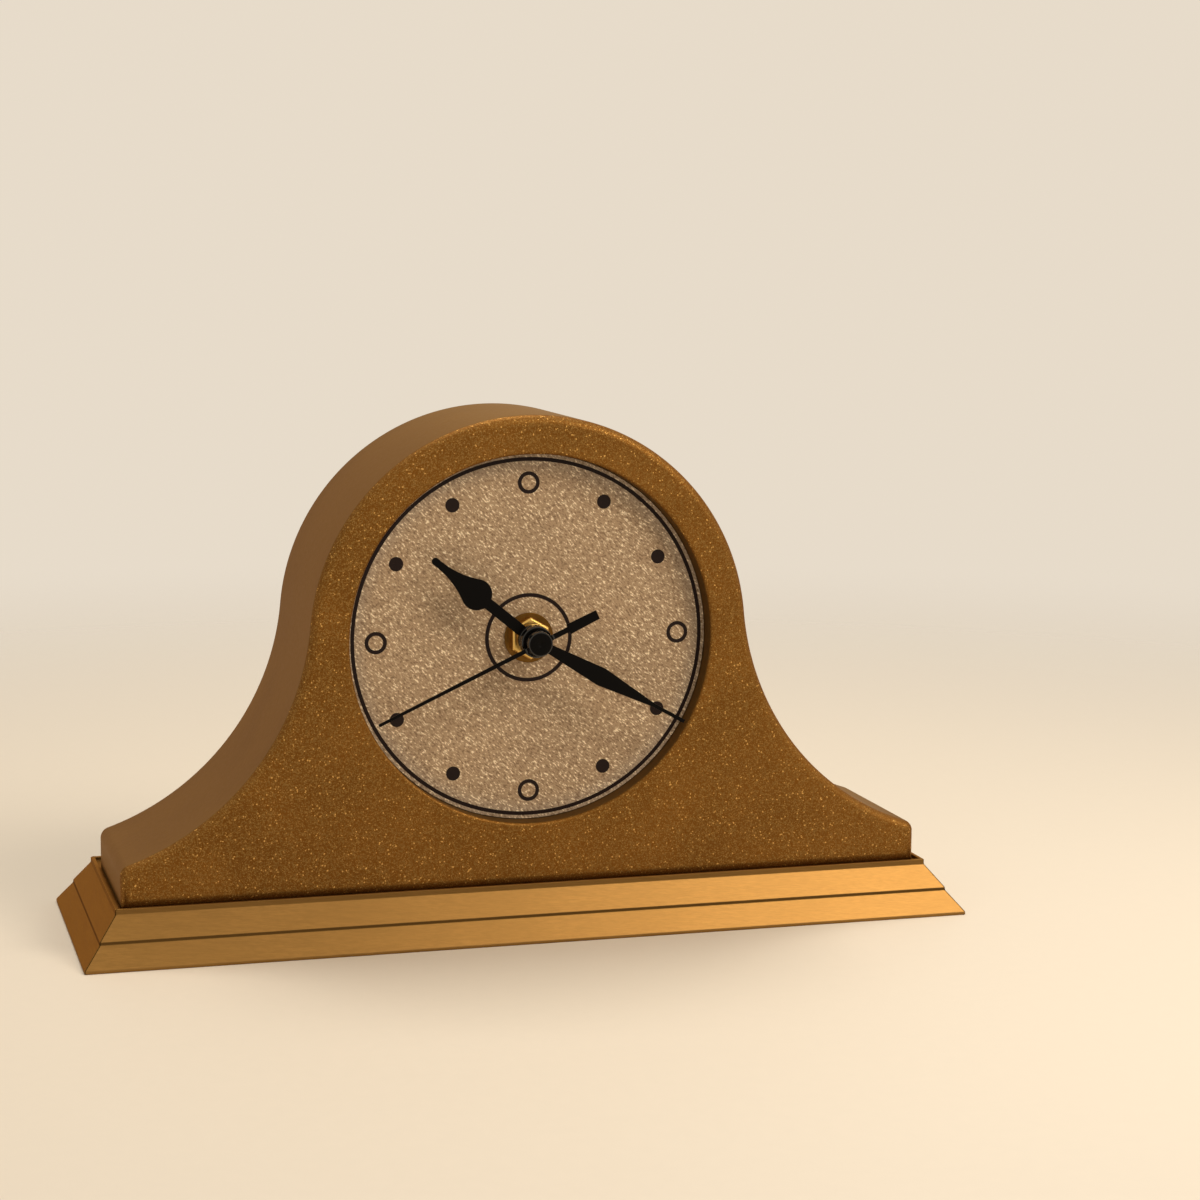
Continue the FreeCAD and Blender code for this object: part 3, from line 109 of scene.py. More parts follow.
class ClockSizes(bpy.types.PropertyGroup):
    """Sizes of the modelled pieces."""

    crown_radius: length("Crown radius", "Radius of the round top of the case", 59.0)
    flank_radius: length("Flank radius", "Radius of the hollow flanks of the case", 70.0)
    foot_height: length("Foot height", "Height of the upright ends of the case", 10.4)
    shoulder_radius: length("Shoulder radius", "Round between flank and foot", 3.0)
    front_round: length("Front round", "Soft round at the front edge of the case", 2.5)
    rear_round: length("Rear round", "Small round at the back edge of the case", 0.8)
    recess_radius: length("Recess radius", "Radius of the opening for the dial", 48.8)
    recess_round: length("Recess round", "Round at the mouth of the opening", 0.9)
    pocket_half: length("Pocket half width", "Half the width of the pocket in the back", 32.5)
    pocket_low: length("Pocket floor", "Height of the pocket's lower edge", 40.0)
    pocket_high: length("Pocket top", "Height of the pocket's upper edge", 105.0)
    pocket_corner: length("Pocket corner", "Corner radius of the pocket", 8.0)
    screw_offset: length("Screw offset", "Each wood screw's distance from the middle", 80.0)
    screw_radius: length("Screw radius", "Radius of the wood screws", 2.0)
    screw_bite: length("Screw bite", "How far a screw goes up into the case", 17.0)
    mitre_gap: length("Mitre gap", "Half of the dark line between two mouldings", 0.11)
    moulding_edge: length("Moulding edge", "Small round along the mouldings' edges", 0.22)
    outer_line_radius: length("Outer line radius", "Outer edge of the printed circle near the rim", 47.7)
    inner_line_radius: length("Inner line radius", "Outer edge of the printed circle round the hands", 11.8)
    line_width: length("Line width", "Width of the printed circles", 1.0)
    mark_distance: length("Mark distance", "Distance of the hour marks from the centre", 41.0)
    ring_radius: length("Ring radius", "Outer radius of the rings at the quarter hours", 2.95)
    ring_width: length("Ring width", "Line width of the rings at the quarter hours", 1.0)
    dot_radius: length("Dot radius", "Radius of the dots at the other hours", 1.9)
    print_rise: length("Print rise", "How far the print stands off the leather", 0.03)
    washer_gap: length("Washer gap", "Gap between the washer and the bush", 0.3)
    washer_edge: length("Washer edge", "Small round along the washer's edges", 0.15)
    nut_edge: length("Nut edge", "Flat bevel round the front of the nut", 0.35)
    nut_burr: length("Nut burr", "Small flat along the nut's other edges", 0.09)
    bush_radius: length("Bush radius", "Radius of the threaded bush", 3.8)
    bush_bore: length("Bush bore", "Radius of the hole through the bush", 2.6)
    bush_edge: length("Bush edge", "Flat bevel at the mouth of the bush", 0.2)
    thread_pitch: length("Thread pitch", "Pitch of the bush's fine thread", 0.3)
    thread_depth: length("Thread depth", "Depth of the bush's fine thread", 0.18)
    flange_thick: length("Flange thickness", "Thickness of the square flange behind the bush", 0.8)
    flange_edge: length("Flange edge", "Small round along the flange's edges", 0.15)
    blade_thick: length("Blade thickness", "Thickness of the hands' sheet metal", 0.4)
    blade_edge: length("Blade edge", "Small round along the edges of the hands", 0.09)
    hour_ahead: length("Hour hand ahead", "Gap between the dial and the hour hand", 5.3)
    minute_ahead: length("Minute hand ahead", "Gap between the dial and the minute hand", 8.2)
    seconds_ahead: length("Seconds hand ahead", "Gap between the dial and the seconds hand", 11.6)
    hub_radius: length("Hub radius", "Radius of the hour and minute hubs", 4.2)
    cap_radius: length("Cap radius", "Radius of the seconds hand's cap", 3.3)
    hub_edge: length("Hub edge", "Small round at the rims of hubs and cap", 0.3)
    hour_angle: angle("Hour hand", "Clockwise from twelve", 309.4)
    minute_angle: angle("Minute hand", "Clockwise from twelve", 119.4)
    seconds_angle: angle("Seconds hand", "Clockwise from twelve", 245.2)


class ClockColours(bpy.types.PropertyGroup):
    """Colours of the finishes."""

    bronze: colour("Front bronze", "Ground of the glittering front", 0.165, 0.063, 0.009)
    flake: colour("Front flake", "Bright flakes in the front's lacquer", 0.80, 0.46, 0.13)
    satin: colour("Satin gold", "Smooth sides, top and edges of the case", 0.180, 0.107, 0.035)
    brushed: colour("Brushed gold", "Mouldings of the base", 0.275, 0.147, 0.042)
    board: colour("Board", "Board inside the mouldings", 0.26, 0.17, 0.075)
    leather: colour("Leather", "Ground of the dial", 0.40, 0.270, 0.155)
    leather_light: colour("Leather, light", "Tips of the dial's grain", 0.95, 0.78, 0.54)
    leather_dark: colour("Leather, dark", "Creases of the dial's grain", 0.16, 0.088, 0.042)
    # Painted shade: the greyer cast that the dial takes on towards its rim
    leather_rim_shade: colour("Leather, rim", "Greyer leather towards the dial's rim", 0.40, 0.335, 0.265)
    ink: colour("Ink", "Printed circles, rings and dots", 0.010, 0.004, 0.003)
    bright_brass: colour("Bright brass", "Polished nut", 0.82, 0.52, 0.15)
    dark_brass: colour("Dark brass", "Washer under the nut", 0.15, 0.072, 0.015)
    black: colour("Black lacquer", "Hands", 0.0016, 0.0012, 0.0010)
    moulded: colour("Moulded plastic", "Housing of the movement", 0.030, 0.030, 0.033)
    acetal: colour("Acetal", "Wheels of the movement", 0.80, 0.78, 0.70)
    copper: colour("Copper wire", "Winding of the motor", 0.50, 0.18, 0.06)
    steel: colour("Steel", "Screws, contacts and motor plates", 0.58, 0.57, 0.55)
    jacket: colour("Cell jacket", "Plain jacket of the battery cell", 0.10, 0.22, 0.34)
    laminate: colour("Laminate", "Circuit board", 0.04, 0.17, 0.07)
    rubber: colour("Rubber", "Pad behind the dial", 0.035, 0.035, 0.036)
    floor: colour("Floor", "Pale floor", 0.80, 0.73, 0.63)
    backdrop: colour("Backdrop", "Pale wall colour behind the clock", 0.80, 0.71, 0.59)


# Bench work: selecting and shaping with Blender's own tools


def work_on(piece):
    """Makes one piece the only selected and the active one."""
    bpy.ops.object.select_all(action="DESELECT")
    piece.select_set(True)
    bpy.context.view_layer.objects.active = piece


def open_mesh(piece):
    """Goes into edit mode with every vertex selected."""
    work_on(piece)
    bpy.ops.object.mode_set(mode="EDIT")
    bpy.ops.mesh.select_mode(type="VERT")
    bpy.ops.mesh.select_all(action="SELECT")


def close_mesh():
    """Leaves edit mode."""
    bpy.ops.object.mode_set(mode="OBJECT")


def close_solid(piece):
    """Turns every face of a finished solid outwards and leaves edit mode."""
    bpy.ops.mesh.select_all(action="SELECT")
    bpy.ops.mesh.normals_make_consistent(inside=False)
    close_mesh()
    return piece


def pick(piece, kind, wanted):
    """Selects, in edit mode, the vertices, edges or faces that a test wants."""
    bpy.ops.mesh.select_mode(type=kind)
    bpy.ops.mesh.select_all(action="DESELECT")
    mesh = bmesh.from_edit_mesh(piece.data)
    for part in {"VERT": mesh.verts, "EDGE": mesh.edges, "FACE": mesh.faces}[kind]:
        if wanted(part):
            part.select_set(True)
    mesh.select_flush_mode()
    bmesh.update_edit_mesh(piece.data)


def settle(name):
    """Names the active piece and puts its place into its mesh."""
    piece = bpy.context.object
    piece.name = piece.data.name = name
    bpy.ops.object.transform_apply(location=True, rotation=True, scale=True)
    return piece


def modify(piece, kind, **settings):
    """Adds a modifier and applies it."""
    work_on(piece)
    bpy.ops.object.modifier_add(type=kind)
    modifier = piece.modifiers[-1]
    for key, value in settings.items():
        setattr(modifier, key, value)
    bpy.ops.object.modifier_apply(modifier=modifier.name)


def combine(piece, other, operation="DIFFERENCE"):
    """Takes another form out of a piece, or joins it on, and clears it away."""
    modify(piece, "BOOLEAN", operation=operation, solver="EXACT", object=other)
    work_on(other)
    bpy.ops.object.delete()


def soften(piece, width, segments=2, sharper_than=25.0):
    """Rounds every edge that turns by more than an angle, a little."""
    modify(piece, "BEVEL", width=width, segments=segments, limit_method="ANGLE",
           angle_limit=math.radians(sharper_than))


def smooth(piece, sharper_than):
    """Smooth shading that keeps sharp edges sharp and flat faces flat."""
    work_on(piece)
    bpy.ops.object.shade_smooth_by_angle(angle=math.radians(sharper_than))
    modify(piece, "WEIGHTED_NORMAL", keep_sharp=True)


def round_edges(piece, radius, segments, wanted):
    """Rounds the edges that a test wants."""
    open_mesh(piece)
    pick(piece, "EDGE", wanted)
    bpy.ops.mesh.bevel(offset=radius, segments=segments)
    close_mesh()


def in_plane(edge, depth):
    """Whether an edge lies in the upright plane at a depth."""
    return all(abs(vertex.co.y - depth) < NEAR for vertex in edge.verts)


def turned_copy(piece, name, radians, about="Y"):
    """A copy with its own mesh, turned about the hand axis or the upright middle line."""
    work_on(piece)
    bpy.ops.object.duplicate()
    return turn(bpy.context.object, name, radians, about)


def turn(piece, name, radians, about="Y"):
    """Turns a piece about the hand axis, clockwise from the front, or about the upright middle line."""
    work_on(piece)
    bpy.context.scene.cursor.location = (0, 0, AXIS_HEIGHT)
    bpy.ops.object.origin_set(type="ORIGIN_CURSOR")
    piece.rotation_euler["XYZ".index(about)] = radians
    return settle(name)


def finish_piece(piece, body, slot, finish, *nodes, sharper_than=35.0):
    """Gives a modelled piece its shading, finish and body, and the nodes that it stands for."""
    smooth(piece, sharper_than)
    piece.data.materials.clear()
    for made in finish if isinstance(finish, tuple) else (finish,):
        piece.data.materials.append(made.material)
    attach(piece, body)
    if nodes:
        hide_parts(*nodes)


class Pen:
    """Draws a line of edges: each stroke extrudes or spins the last vertex."""

    def __init__(self, name, start, *points):
        bpy.ops.mesh.primitive_plane_add(size=MM, location=(0, 0, 0))
        self.piece = settle(name)
        open_mesh(self.piece)
        bpy.ops.mesh.merge(type="CENTER")
        bpy.ops.transform.translate(value=start)
        self.place = Vector(start)
        self.line(*points)

    def line(self, *points):
        """Straight strokes to each point in turn."""
        for point in points:
            bpy.ops.mesh.extrude_region_move(TRANSFORM_OT_translate={"value": Vector(point) - self.place})
            self.place = Vector(point)

    def arc(self, centre, target, steps):
        """A stroke round a centre, towards the direction of a target, seen from the front."""
        centre, target = Vector(centre), Vector(target)
        start, end = self.place - centre, target - centre
        sweep = math.atan2(start.z * end.x - start.x * end.z, start.x * end.x + start.z * end.z)
        bpy.ops.mesh.spin(steps=steps, angle=sweep, center=centre, axis=-CLOCKWISE)
        self.place = centre + end.normalized() * start.length

    def raised(self, way):
        """The line closed, filled and drawn out by a vector into a solid."""
        bpy.ops.mesh.select_all(action="SELECT")
        bpy.ops.mesh.remove_doubles(threshold=WELD)
        bpy.ops.mesh.edge_face_add()
        bpy.ops.mesh.extrude_region_move(TRANSFORM_OT_translate={"value": way})
        return close_solid(self.piece)

    def turned(self, steps, centre=(0, 0, AXIS_HEIGHT), axis=CLOCKWISE):
        """The line spun once round an axis into a closed solid."""
        bpy.ops.mesh.select_all(action="SELECT")
        bpy.ops.mesh.spin(steps=steps, angle=TURN, center=centre, axis=axis)
        bpy.ops.mesh.select_all(action="SELECT")
        bpy.ops.mesh.remove_doubles(threshold=WELD)
        return close_solid(self.piece)


def disc(name, radius, front, rise, above=0.0, steps=96, hole=0.0):
    """A short drum or ring about the hand axis, or above it; it stands ahead of its plane by the rise."""
    bpy.ops.mesh.primitive_circle_add(vertices=steps, radius=radius, fill_type="NGON", rotation=FRONTWARD,
                                      location=(0, front, AXIS_HEIGHT + above))
    piece = settle(name)
    open_mesh(piece)
    if hole:
        bpy.ops.mesh.inset(thickness=radius - hole)
        bpy.ops.mesh.delete(type="FACE")
        bpy.ops.mesh.select_all(action="SELECT")
    bpy.ops.mesh.extrude_region_move(TRANSFORM_OT_translate={"value": AHEAD * rise})
    return close_solid(piece)


def block(name, centre, extent):
    """A plain block about its centre."""
    bpy.ops.mesh.primitive_cube_add(size=1, location=centre, scale=extent)
    return settle(name)


def meeting(first, second, span):
    """Where two circles meet whose centres are a span apart: along from the first centre, and aside."""
    along = (first ** 2 - second ** 2 + span ** 2) / (2 * span)
    return along, math.sqrt(first ** 2 - along ** 2)


def spot(out, depth):
    """A point of a turned profile: out from the hand axis, at a depth."""
    return (out, depth, AXIS_HEIGHT)


# Finishes


class Level:
    """A number that varies over a surface. An expression on it adds its Math nodes."""

    def __init__(self, finish, socket):
        self.finish = finish
        self.socket = socket

    def sum(self, operation, *values):
        made = self.finish.node("ShaderNodeMath", dict(enumerate(values)), operation=operation)
        return Level(self.finish, made.outputs[0])

    def __add__(self, other):
        return self.sum("ADD", self, other)

    def __sub__(self, other):
        return self.sum("SUBTRACT", self, other)

    def __rsub__(self, other):
        return self.sum("SUBTRACT", other, self)

    def __mul__(self, other):
        return self.sum("MULTIPLY", self, other)

    def __pow__(self, other):
        return self.sum("POWER", self, other)

    __radd__ = __add__

    def between(self, low, high):
        """Rises smoothly from 0 to 1 while the number goes from low to high."""
        made = self.finish.node("ShaderNodeMapRange", {"Value": self, "From Min": low, "From Max": high},
                                interpolation_type="SMOOTHSTEP")
        return Level(self.finish, made.outputs["Result"])


class Nodes:
    """A shader tree under construction."""

    def __init__(self, tree):
        self.tree = tree

    def node(self, kind, values=None, **settings):
        """Adds a node with the values or links of its sockets, and its settings."""
        made = self.tree.nodes.new(kind)
        for key, value in settings.items():
            setattr(made, key, value)
        for key, value in (values or {}).items():
            self.feed(made.inputs[key], value)
        return made

    def feed(self, socket, value):
        """Links or sets one socket."""
        if isinstance(value, Level):
            value = value.socket
        if isinstance(value, bpy.types.NodeSocket):
            self.tree.links.new(value, socket)
        elif socket.type == "RGBA":
            socket.default_value = (*value, 1.0)
        else:
            socket.default_value = value


class Finish(Nodes):
    """A procedural material: one Principled shader and the nodes that feed it."""

    def __init__(self, name, **fixed):
        self.material = bpy.data.materials.new(name)
        self.material.use_nodes = True
        super().__init__(self.material.node_tree)
        self.shader = self.tree.nodes["Principled BSDF"]
        self.place = self.node("ShaderNodeTexCoord").outputs["Object"]
        for key, value in fixed.items():
            self.feed(self.shader.inputs[key.replace("_", " ").title().replace("Ior", "IOR")], value)

    def mapped(self, stretch=(1, 1, 1), rotation=(0, 0, 0), centre=(0, 0, 0)):
        """The surface's own place for a pattern that is drawn out, turned and centred."""
        made = self.node("ShaderNodeMapping", {"Vector": self.place, "Scale": stretch, "Rotation": rotation,
                                               "Location": centre}, vector_type="TEXTURE")
        return made.outputs[0]

    def noise(self, size, detail=3.0, roughness=0.5, place=None):
        """Cloudy noise; size is the width of one lump."""
        made = self.node("ShaderNodeTexNoise", {"Vector": place or self.place, "Scale": 1 / size,
                                                "Detail": detail, "Roughness": roughness})
        return Level(self, made.outputs[0])

    def cells(self, size, channel="Red"):
        """Packed cells, each with one number of its own."""
        made = self.node("ShaderNodeTexVoronoi", {"Vector": self.place, "Scale": 1 / size})
        split = self.node("ShaderNodeSeparateColor", {"Color": made.outputs["Color"]})
        return Level(self, split.outputs[channel])

    def axes(self, **how):
        """The surface's own place as three numbers."""
        split = self.node("ShaderNodeSeparateXYZ", {0: self.mapped(**how)})
        return [Level(self, part) for part in split.outputs]

    def mix(self, share, first, second):
        """A colour between two colours."""
        return self.node("ShaderNodeMix", {0: share, 6: first, 7: second}, data_type="RGBA").outputs[2]

    def tones(self, level, rgb, low, high):
        """A colour that goes from one share of itself to another."""
        return self.mix(level, darker(rgb, low), darker(rgb, high))

    def bump(self, level, depth):
        """Raises the surface by a level times a depth."""
        made = self.node("ShaderNodeBump", {"Height": level, "Distance": depth})
        self.feed(self.shader.inputs["Normal"], made.outputs[0])

    def base(self, value):
        self.feed(self.shader.inputs["Base Color"], value)

    def rough(self, value):
        self.feed(self.shader.inputs["Roughness"], value)


def from_axis(finish):
    """Each point's distance from the hand axis."""
    right, _, above = finish.axes(centre=(0, 0, AXIS_HEIGHT))
    return (right * right + above * above) ** 0.5


def darker(rgb, share):
    """A colour times a share."""
    return tuple(part * share for part in rgb)


def glitter_bronze(colours):
    """Bronze lacquer full of fine flakes, some of them bright."""
    finish = Finish("front_glitter", metallic=0.6, specular_tint=darker(colours.flake, 0.8))
    drift = finish.noise(22 * MM, 2.0)
    speck = finish.noise(0.42 * MM, 2.0, 0.7)
    flake = finish.cells(0.22 * MM)
    spark = finish.cells(0.30 * MM, "Green")
    ground = finish.tones(drift.between(0.3, 0.7), colours.bronze, 0.9, 1.12)
    lively = finish.mix(speck.between(0.4, 0.8), ground, darker(colours.flake, 0.32))
    flaked = finish.mix(flake.between(0.75, 1.0) * 0.45, lively, darker(colours.flake, 0.6))
    finish.base(finish.mix(spark.between(0.972, 0.998) * 0.8, flaked, colours.flake))
    finish.rough(0.52 - flake.between(0.6, 1.0) * 0.2 + speck * 0.08)
    finish.bump(speck * 0.6 + flake * 0.4, 0.05 * MM)
    return finish


def satin_gold(colours):
    """Smooth satin gold lacquer with the faint mottle of a sprayed coat."""
    finish = Finish("satin_gold", metallic=0.75, specular_tint=darker(colours.flake, 0.8))
    drift = finish.noise(30 * MM, 2.0)
    orange_peel = finish.noise(1.3 * MM, 2.0)
    fleck = finish.cells(0.35 * MM)
    ground = finish.tones(drift.between(0.3, 0.7), colours.satin, 0.94, 1.06)
    finish.base(finish.mix(fleck.between(0.7, 1.0) * 0.3, ground, darker(colours.satin, 1.5)))
    finish.rough(0.36 + orange_peel * 0.08 + fleck * 0.04)
    finish.bump(orange_peel, 0.012 * MM)
    return finish


def brushed_gold(colours, along, name):
    """Champagne gold, brushed along a moulding at a slight slant, with painted shade on the upright faces
    of its steps.
    """
    finish = Finish(name, metallic=0.9, specular_tint=darker(colours.flake, 0.8))
    slant = math.radians(7)
    drawn = ((30, 1, 1), (0, slant, 0)) if along == "X" else ((1, 30, 1), (slant, 0, 0))
    line_place = finish.mapped(*drawn)
    hair = finish.noise(0.20 * MM, 2.0, 0.6, line_place)
    streak = finish.noise(0.9 * MM, 3.0, 0.6, line_place)
    drift = finish.noise(35 * MM, 2.0)
    lines = hair * 0.6 + streak * 0.4
    height = finish.axes()[2]
    # Painted shade: the upright faces of the step and the lip are darkened by their height on the moulding,
    # and made a little rougher
    step = height.between(6.05 * MM, 6.25 * MM) - height.between(6.85 * MM, 7.0 * MM)
    lip = height.between(12.6 * MM, 12.8 * MM) - height.between(13.9 * MM, 14.05 * MM)
    step_shade = step * 0.8 + lip * 0.35
    ground = finish.tones(drift.between(0.3, 0.7), colours.brushed, 0.95, 1.05)
    hatched = finish.mix(lines.between(0.36, 0.66), darker(colours.brushed, 0.84), ground)
    finish.base(finish.mix(step_shade, hatched, darker(colours.brushed, 0.22)))
    finish.rough(0.38 + streak * 0.10 + step_shade * 0.15)
    finish.bump(lines, 0.018 * MM)
    return finish


def dial_leather(colours):
    """Pale leather with fine grain drawn out along one slant: bright tips, dark creases, and painted shade
    as a greyer cast towards the rim.
    """
    finish = Finish("dial_leather", metallic=0.10)
    grain = finish.noise(0.42 * MM, 2.0, 0.6, finish.mapped((2.2, 1, 1), (0, math.radians(42), 0)))
    pebble = finish.noise(0.9 * MM, 2.0, 0.5, finish.mapped((1.3, 1, 1), (0, math.radians(-30), 0)))
    drift = finish.noise(26 * MM, 2.0)
    # Painted shade: the leather turns greyer towards the dial's rim, where less light reaches it
    rim = from_axis(finish).between(42 * MM, 48.5 * MM)
    tip = grain.between(0.56, 0.68)
    crease = 1 - grain.between(0.34, 0.47)
    middle = finish.tones(drift.between(0.35, 0.65), colours.leather, 0.95, 1.05)
    rim_shade_greyed = finish.mix(rim * 0.55, middle, colours.leather_rim_shade)
    creased = finish.mix(crease * 0.75, rim_shade_greyed, colours.leather_dark)
    finish.base(finish.mix(tip * 0.95, creased, colours.leather_light))
    finish.rough(0.60 - tip * 0.22)
    finish.bump(grain * 0.8 + pebble * 0.4, 0.16 * MM)
    return finish


def printed_ink(colours):
    """Printed ink, a little broken by the grain beneath it."""
    finish = Finish("printed_ink", specular_ior_level=0.15)
    grain = finish.noise(0.5 * MM, 3.0, 0.6)
    finish.base(finish.mix(grain.between(0.55, 0.8), colours.ink, darker(colours.ink, 3.0)))
    finish.rough(0.42 + grain * 0.2)
    finish.bump(grain, 0.03 * MM)
    return finish


def turned_metal(name, rgb, roughness, wear):
    """Metal with the fine rings that a lathe leaves about the hand axis, and a little tarnish."""
    finish = Finish(name, metallic=1.0)
    across = from_axis(finish) * (1 / (0.12 * MM))
    rings = finish.noise(1.0, 2.0, 0.6, finish.node("ShaderNodeCombineXYZ", {0: across}).outputs[0])
    stain = finish.noise(1.6 * MM, 4.0, 0.6)
    finish.base(finish.mix(stain.between(0.35, 0.75) * wear, rgb, darker(rgb, 0.5)))
    finish.rough(roughness + rings * 0.10 + stain * 0.12)
    finish.bump(rings, 0.006 * MM)
    return finish


def grained(name, rgb, roughness, lump, depth, metallic=0.0, contrast=0.25, stretch=(1, 1, 1)):
    """A plain coat or moulding with a fine grain and slight drift in tone."""
    finish = Finish(name, metallic=metallic)
    grain = finish.noise(lump, 3.0, 0.6, finish.mapped(stretch))
    drift = finish.noise(lump * 25, 2.0)
    tone = (grain * 0.5 + drift * 0.5).between(0.3, 0.7)
    finish.base(finish.tones(tone, rgb, 1 - contrast, 1 + contrast))
    finish.rough(roughness + grain * 0.12)
    finish.bump(grain, depth)
    return finish


def black_lacquer(colours, radii):
    """Satin black lacquer, glossy round the rims of the hubs, whose radii are given."""
    finish = Finish("black_lacquer", specular_ior_level=0.07, coat_roughness=0.12)
    grain = finish.noise(0.5 * MM, 3.0, 0.6)
    distance = from_axis(finish)
    rims = [distance.between(rim - 0.40 * MM, rim - 0.34 * MM) - distance.between(rim, rim + 0.05 * MM)
            for rim in radii]
    finish.base(finish.tones(grain, colours.black, 0.7, 1.3))
    finish.rough(0.26 + grain * 0.12)
    finish.feed(finish.shader.inputs["Coat Weight"], rims[0] + rims[1])
    finish.bump(grain, 0.008 * MM)
    return finish


def cell_jacket(colours, foot, head):
    """The cell's plain jacket: a dark coat, a pale band at the nub's end, and bare steel at both ends."""
    finish = Finish("cell_jacket")
    along = finish.axes()[0]
    scuff = finish.noise(1.5 * MM, 4.0, 0.65, finish.mapped((6, 1, 1)))
    band = along.between(head - 12.1 * MM, head - 12 * MM)
    steel = (along.between(head - 0.5 * MM, head - 0.4 * MM) + 1
             - along.between(foot + 0.45 * MM, foot + 0.55 * MM))
    coat = finish.mix(band, colours.jacket, colours.dark_brass)
    worn = finish.mix(scuff.between(0.62, 0.9) * 0.35, coat, colours.steel)
    finish.base(finish.mix(steel, worn, colours.steel))
    finish.feed(finish.shader.inputs["Metallic"], steel * 0.7 + band * 0.2 + 0.1)
    finish.rough(0.26 + scuff * 0.14)
    finish.bump(scuff, 0.006 * MM)
    return finish


def wound_wire(colours):
    """Close turns of fine enamelled wire, with painted shade in the grooves between the turns and painted
    highlight on their crests.
    """
    finish = Finish("wound_wire", metallic=0.6)
    turns = finish.axes()[2] * (TURN / (0.16 * MM))
    crest_and_painted_shade = turns.sum("SINE", turns) * 0.5 + 0.5
    # Painted shade in the grooves and painted highlight on the crests, following the same rise as the bump
    finish.base(finish.tones(crest_and_painted_shade, colours.copper, 0.45, 1.2))
    finish.rough(0.5 - crest_and_painted_shade * 0.2)
    finish.bump(crest_and_painted_shade, 0.05 * MM)
    return finish


# The pieces


class Maker:
    """A step that works from the sizes and colours that the user has set."""

    def execute(self, context):
        self.make(context.scene.clock_sizes, context.scene.clock_colours)
        return {"FINISHED"}


class CLOCK_OT_case(Maker, bpy.types.Operator):
    """Humped case with a soft front edge, a round opening for the dial and a pocket in its back"""

    bl_idname = "clock.case"
    bl_label = "Case"

    def outline(self, sizes):
        """The humped outline as a solid, from the left foot over the crown to the right foot."""
        half, front, floor = CASE_HIGH.x, CASE_LOW.y, CASE_LOW.z
        crown, flank, small = sizes.crown_radius, sizes.flank_radius, sizes.shoulder_radius
        # The flank's centre lies a flank radius from the foot's top, and touches the crown
        foot_z = floor + sizes.foot_height - AXIS_HEIGHT
        span = math.hypot(half, foot_z)
        along, aside = meeting(crown + flank, flank, span)
        flank_x = (along * half - aside * foot_z) / span
        flank_z = (along * foot_z + aside * half) / span + AXIS_HEIGHT
        shoulder_x = half - small
        shoulder_z = flank_z - math.sqrt((flank + small) ** 2 - (shoulder_x - flank_x) ** 2)
        left_flank, right_flank = Vector((-flank_x, front, flank_z)), Vector((flank_x, front, flank_z))
        left_shoulder = Vector((-shoulder_x, front, shoulder_z))
        right_shoulder = Vector((shoulder_x, front, shoulder_z))
        centre = Vector((0, front, AXIS_HEIGHT))
        small_steps, flank_steps, crown_steps = 12, 60, 144
        pen = Pen("case", (-half, front, floor), (-half, front, shoulder_z))
        pen.arc(left_shoulder, left_flank, small_steps)
        pen.arc(left_flank, centre, flank_steps)
        pen.arc(centre, right_flank, crown_steps)
        pen.arc(right_flank, right_shoulder, flank_steps)
        pen.arc(right_shoulder, right_shoulder + RIGHTWARD, small_steps)
        pen.line((half, front, floor), (-half, front, floor))
        return pen.raised(Vector((0, CASE_HIGH.y - front, 0)))

    def pocket(self, sizes):
        """The block that clears the pocket for the movement."""
        low, high = sizes.pocket_low, sizes.pocket_high
        back = CASE_HIGH.y + MM
        cutter = block("pocket_block", (0, (DIAL_HIGH.y + back) / 2, (low + high) / 2),
                       (2 * sizes.pocket_half, back - DIAL_HIGH.y, high - low))
        round_edges(cutter, sizes.pocket_corner, 10,
                    lambda edge: abs(edge.verts[0].co.y - edge.verts[1].co.y) > NEAR)
        return cutter

    def screw_hole(self, sizes, right):
        """The drill for one wood screw, from below."""
        bpy.ops.mesh.primitive_cylinder_add(
            vertices=24, radius=sizes.screw_radius, depth=sizes.screw_bite + MM,
            location=(right, (CASE_LOW.y + CASE_HIGH.y) / 2, CASE_LOW.z + (sizes.screw_bite - MM) / 2))
        return settle("screw_drill")

    def make(self, sizes, colours):
        case = self.outline(sizes)
        front, back = CASE_LOW.y, CASE_HIGH.y
        round_edges(case, sizes.front_round, 6, lambda edge: in_plane(edge, front))
        round_edges(case, sizes.rear_round, 3, lambda edge: in_plane(edge, back))
        depth = DIAL_HIGH.y - front + MM
        combine(case, disc("opening", sizes.recess_radius, DIAL_HIGH.y, depth, steps=192))
        combine(case, self.pocket(sizes))
        for right in (-sizes.screw_offset, sizes.screw_offset):
            combine(case, self.screw_hole(sizes, right))

        def at_mouth(edge):
            distances = [math.hypot(v.co.x, v.co.z - AXIS_HEIGHT) for v in edge.verts]
            return in_plane(edge, front) and all(abs(d - sizes.recess_radius) < 5 * NEAR for d in distances)

        def at_pocket(edge):
            low, high, half = sizes.pocket_low - NEAR, sizes.pocket_high + NEAR, sizes.pocket_half + NEAR
            return (in_plane(edge, back) and len(edge.link_faces) == 2 and edge.calc_face_angle() > 1
                    and all(abs(v.co.x) < half and low < v.co.z < high for v in edge.verts))

        def in_front(face):
            return face.normal.y < -0.2 and face.calc_center_median().y < front + sizes.front_round

        round_edges(case, sizes.recess_round, 4, at_mouth)
        round_edges(case, sizes.rear_round / 2, 2, at_pocket)
        finish_piece(case, "case", "case_gold", (satin_gold(colours), glitter_bronze(colours)), "case_body")
        open_mesh(case)
        pick(case, "FACE", in_front)
        case.active_material_index = 1
        bpy.ops.object.material_slot_assign()
        close_mesh()


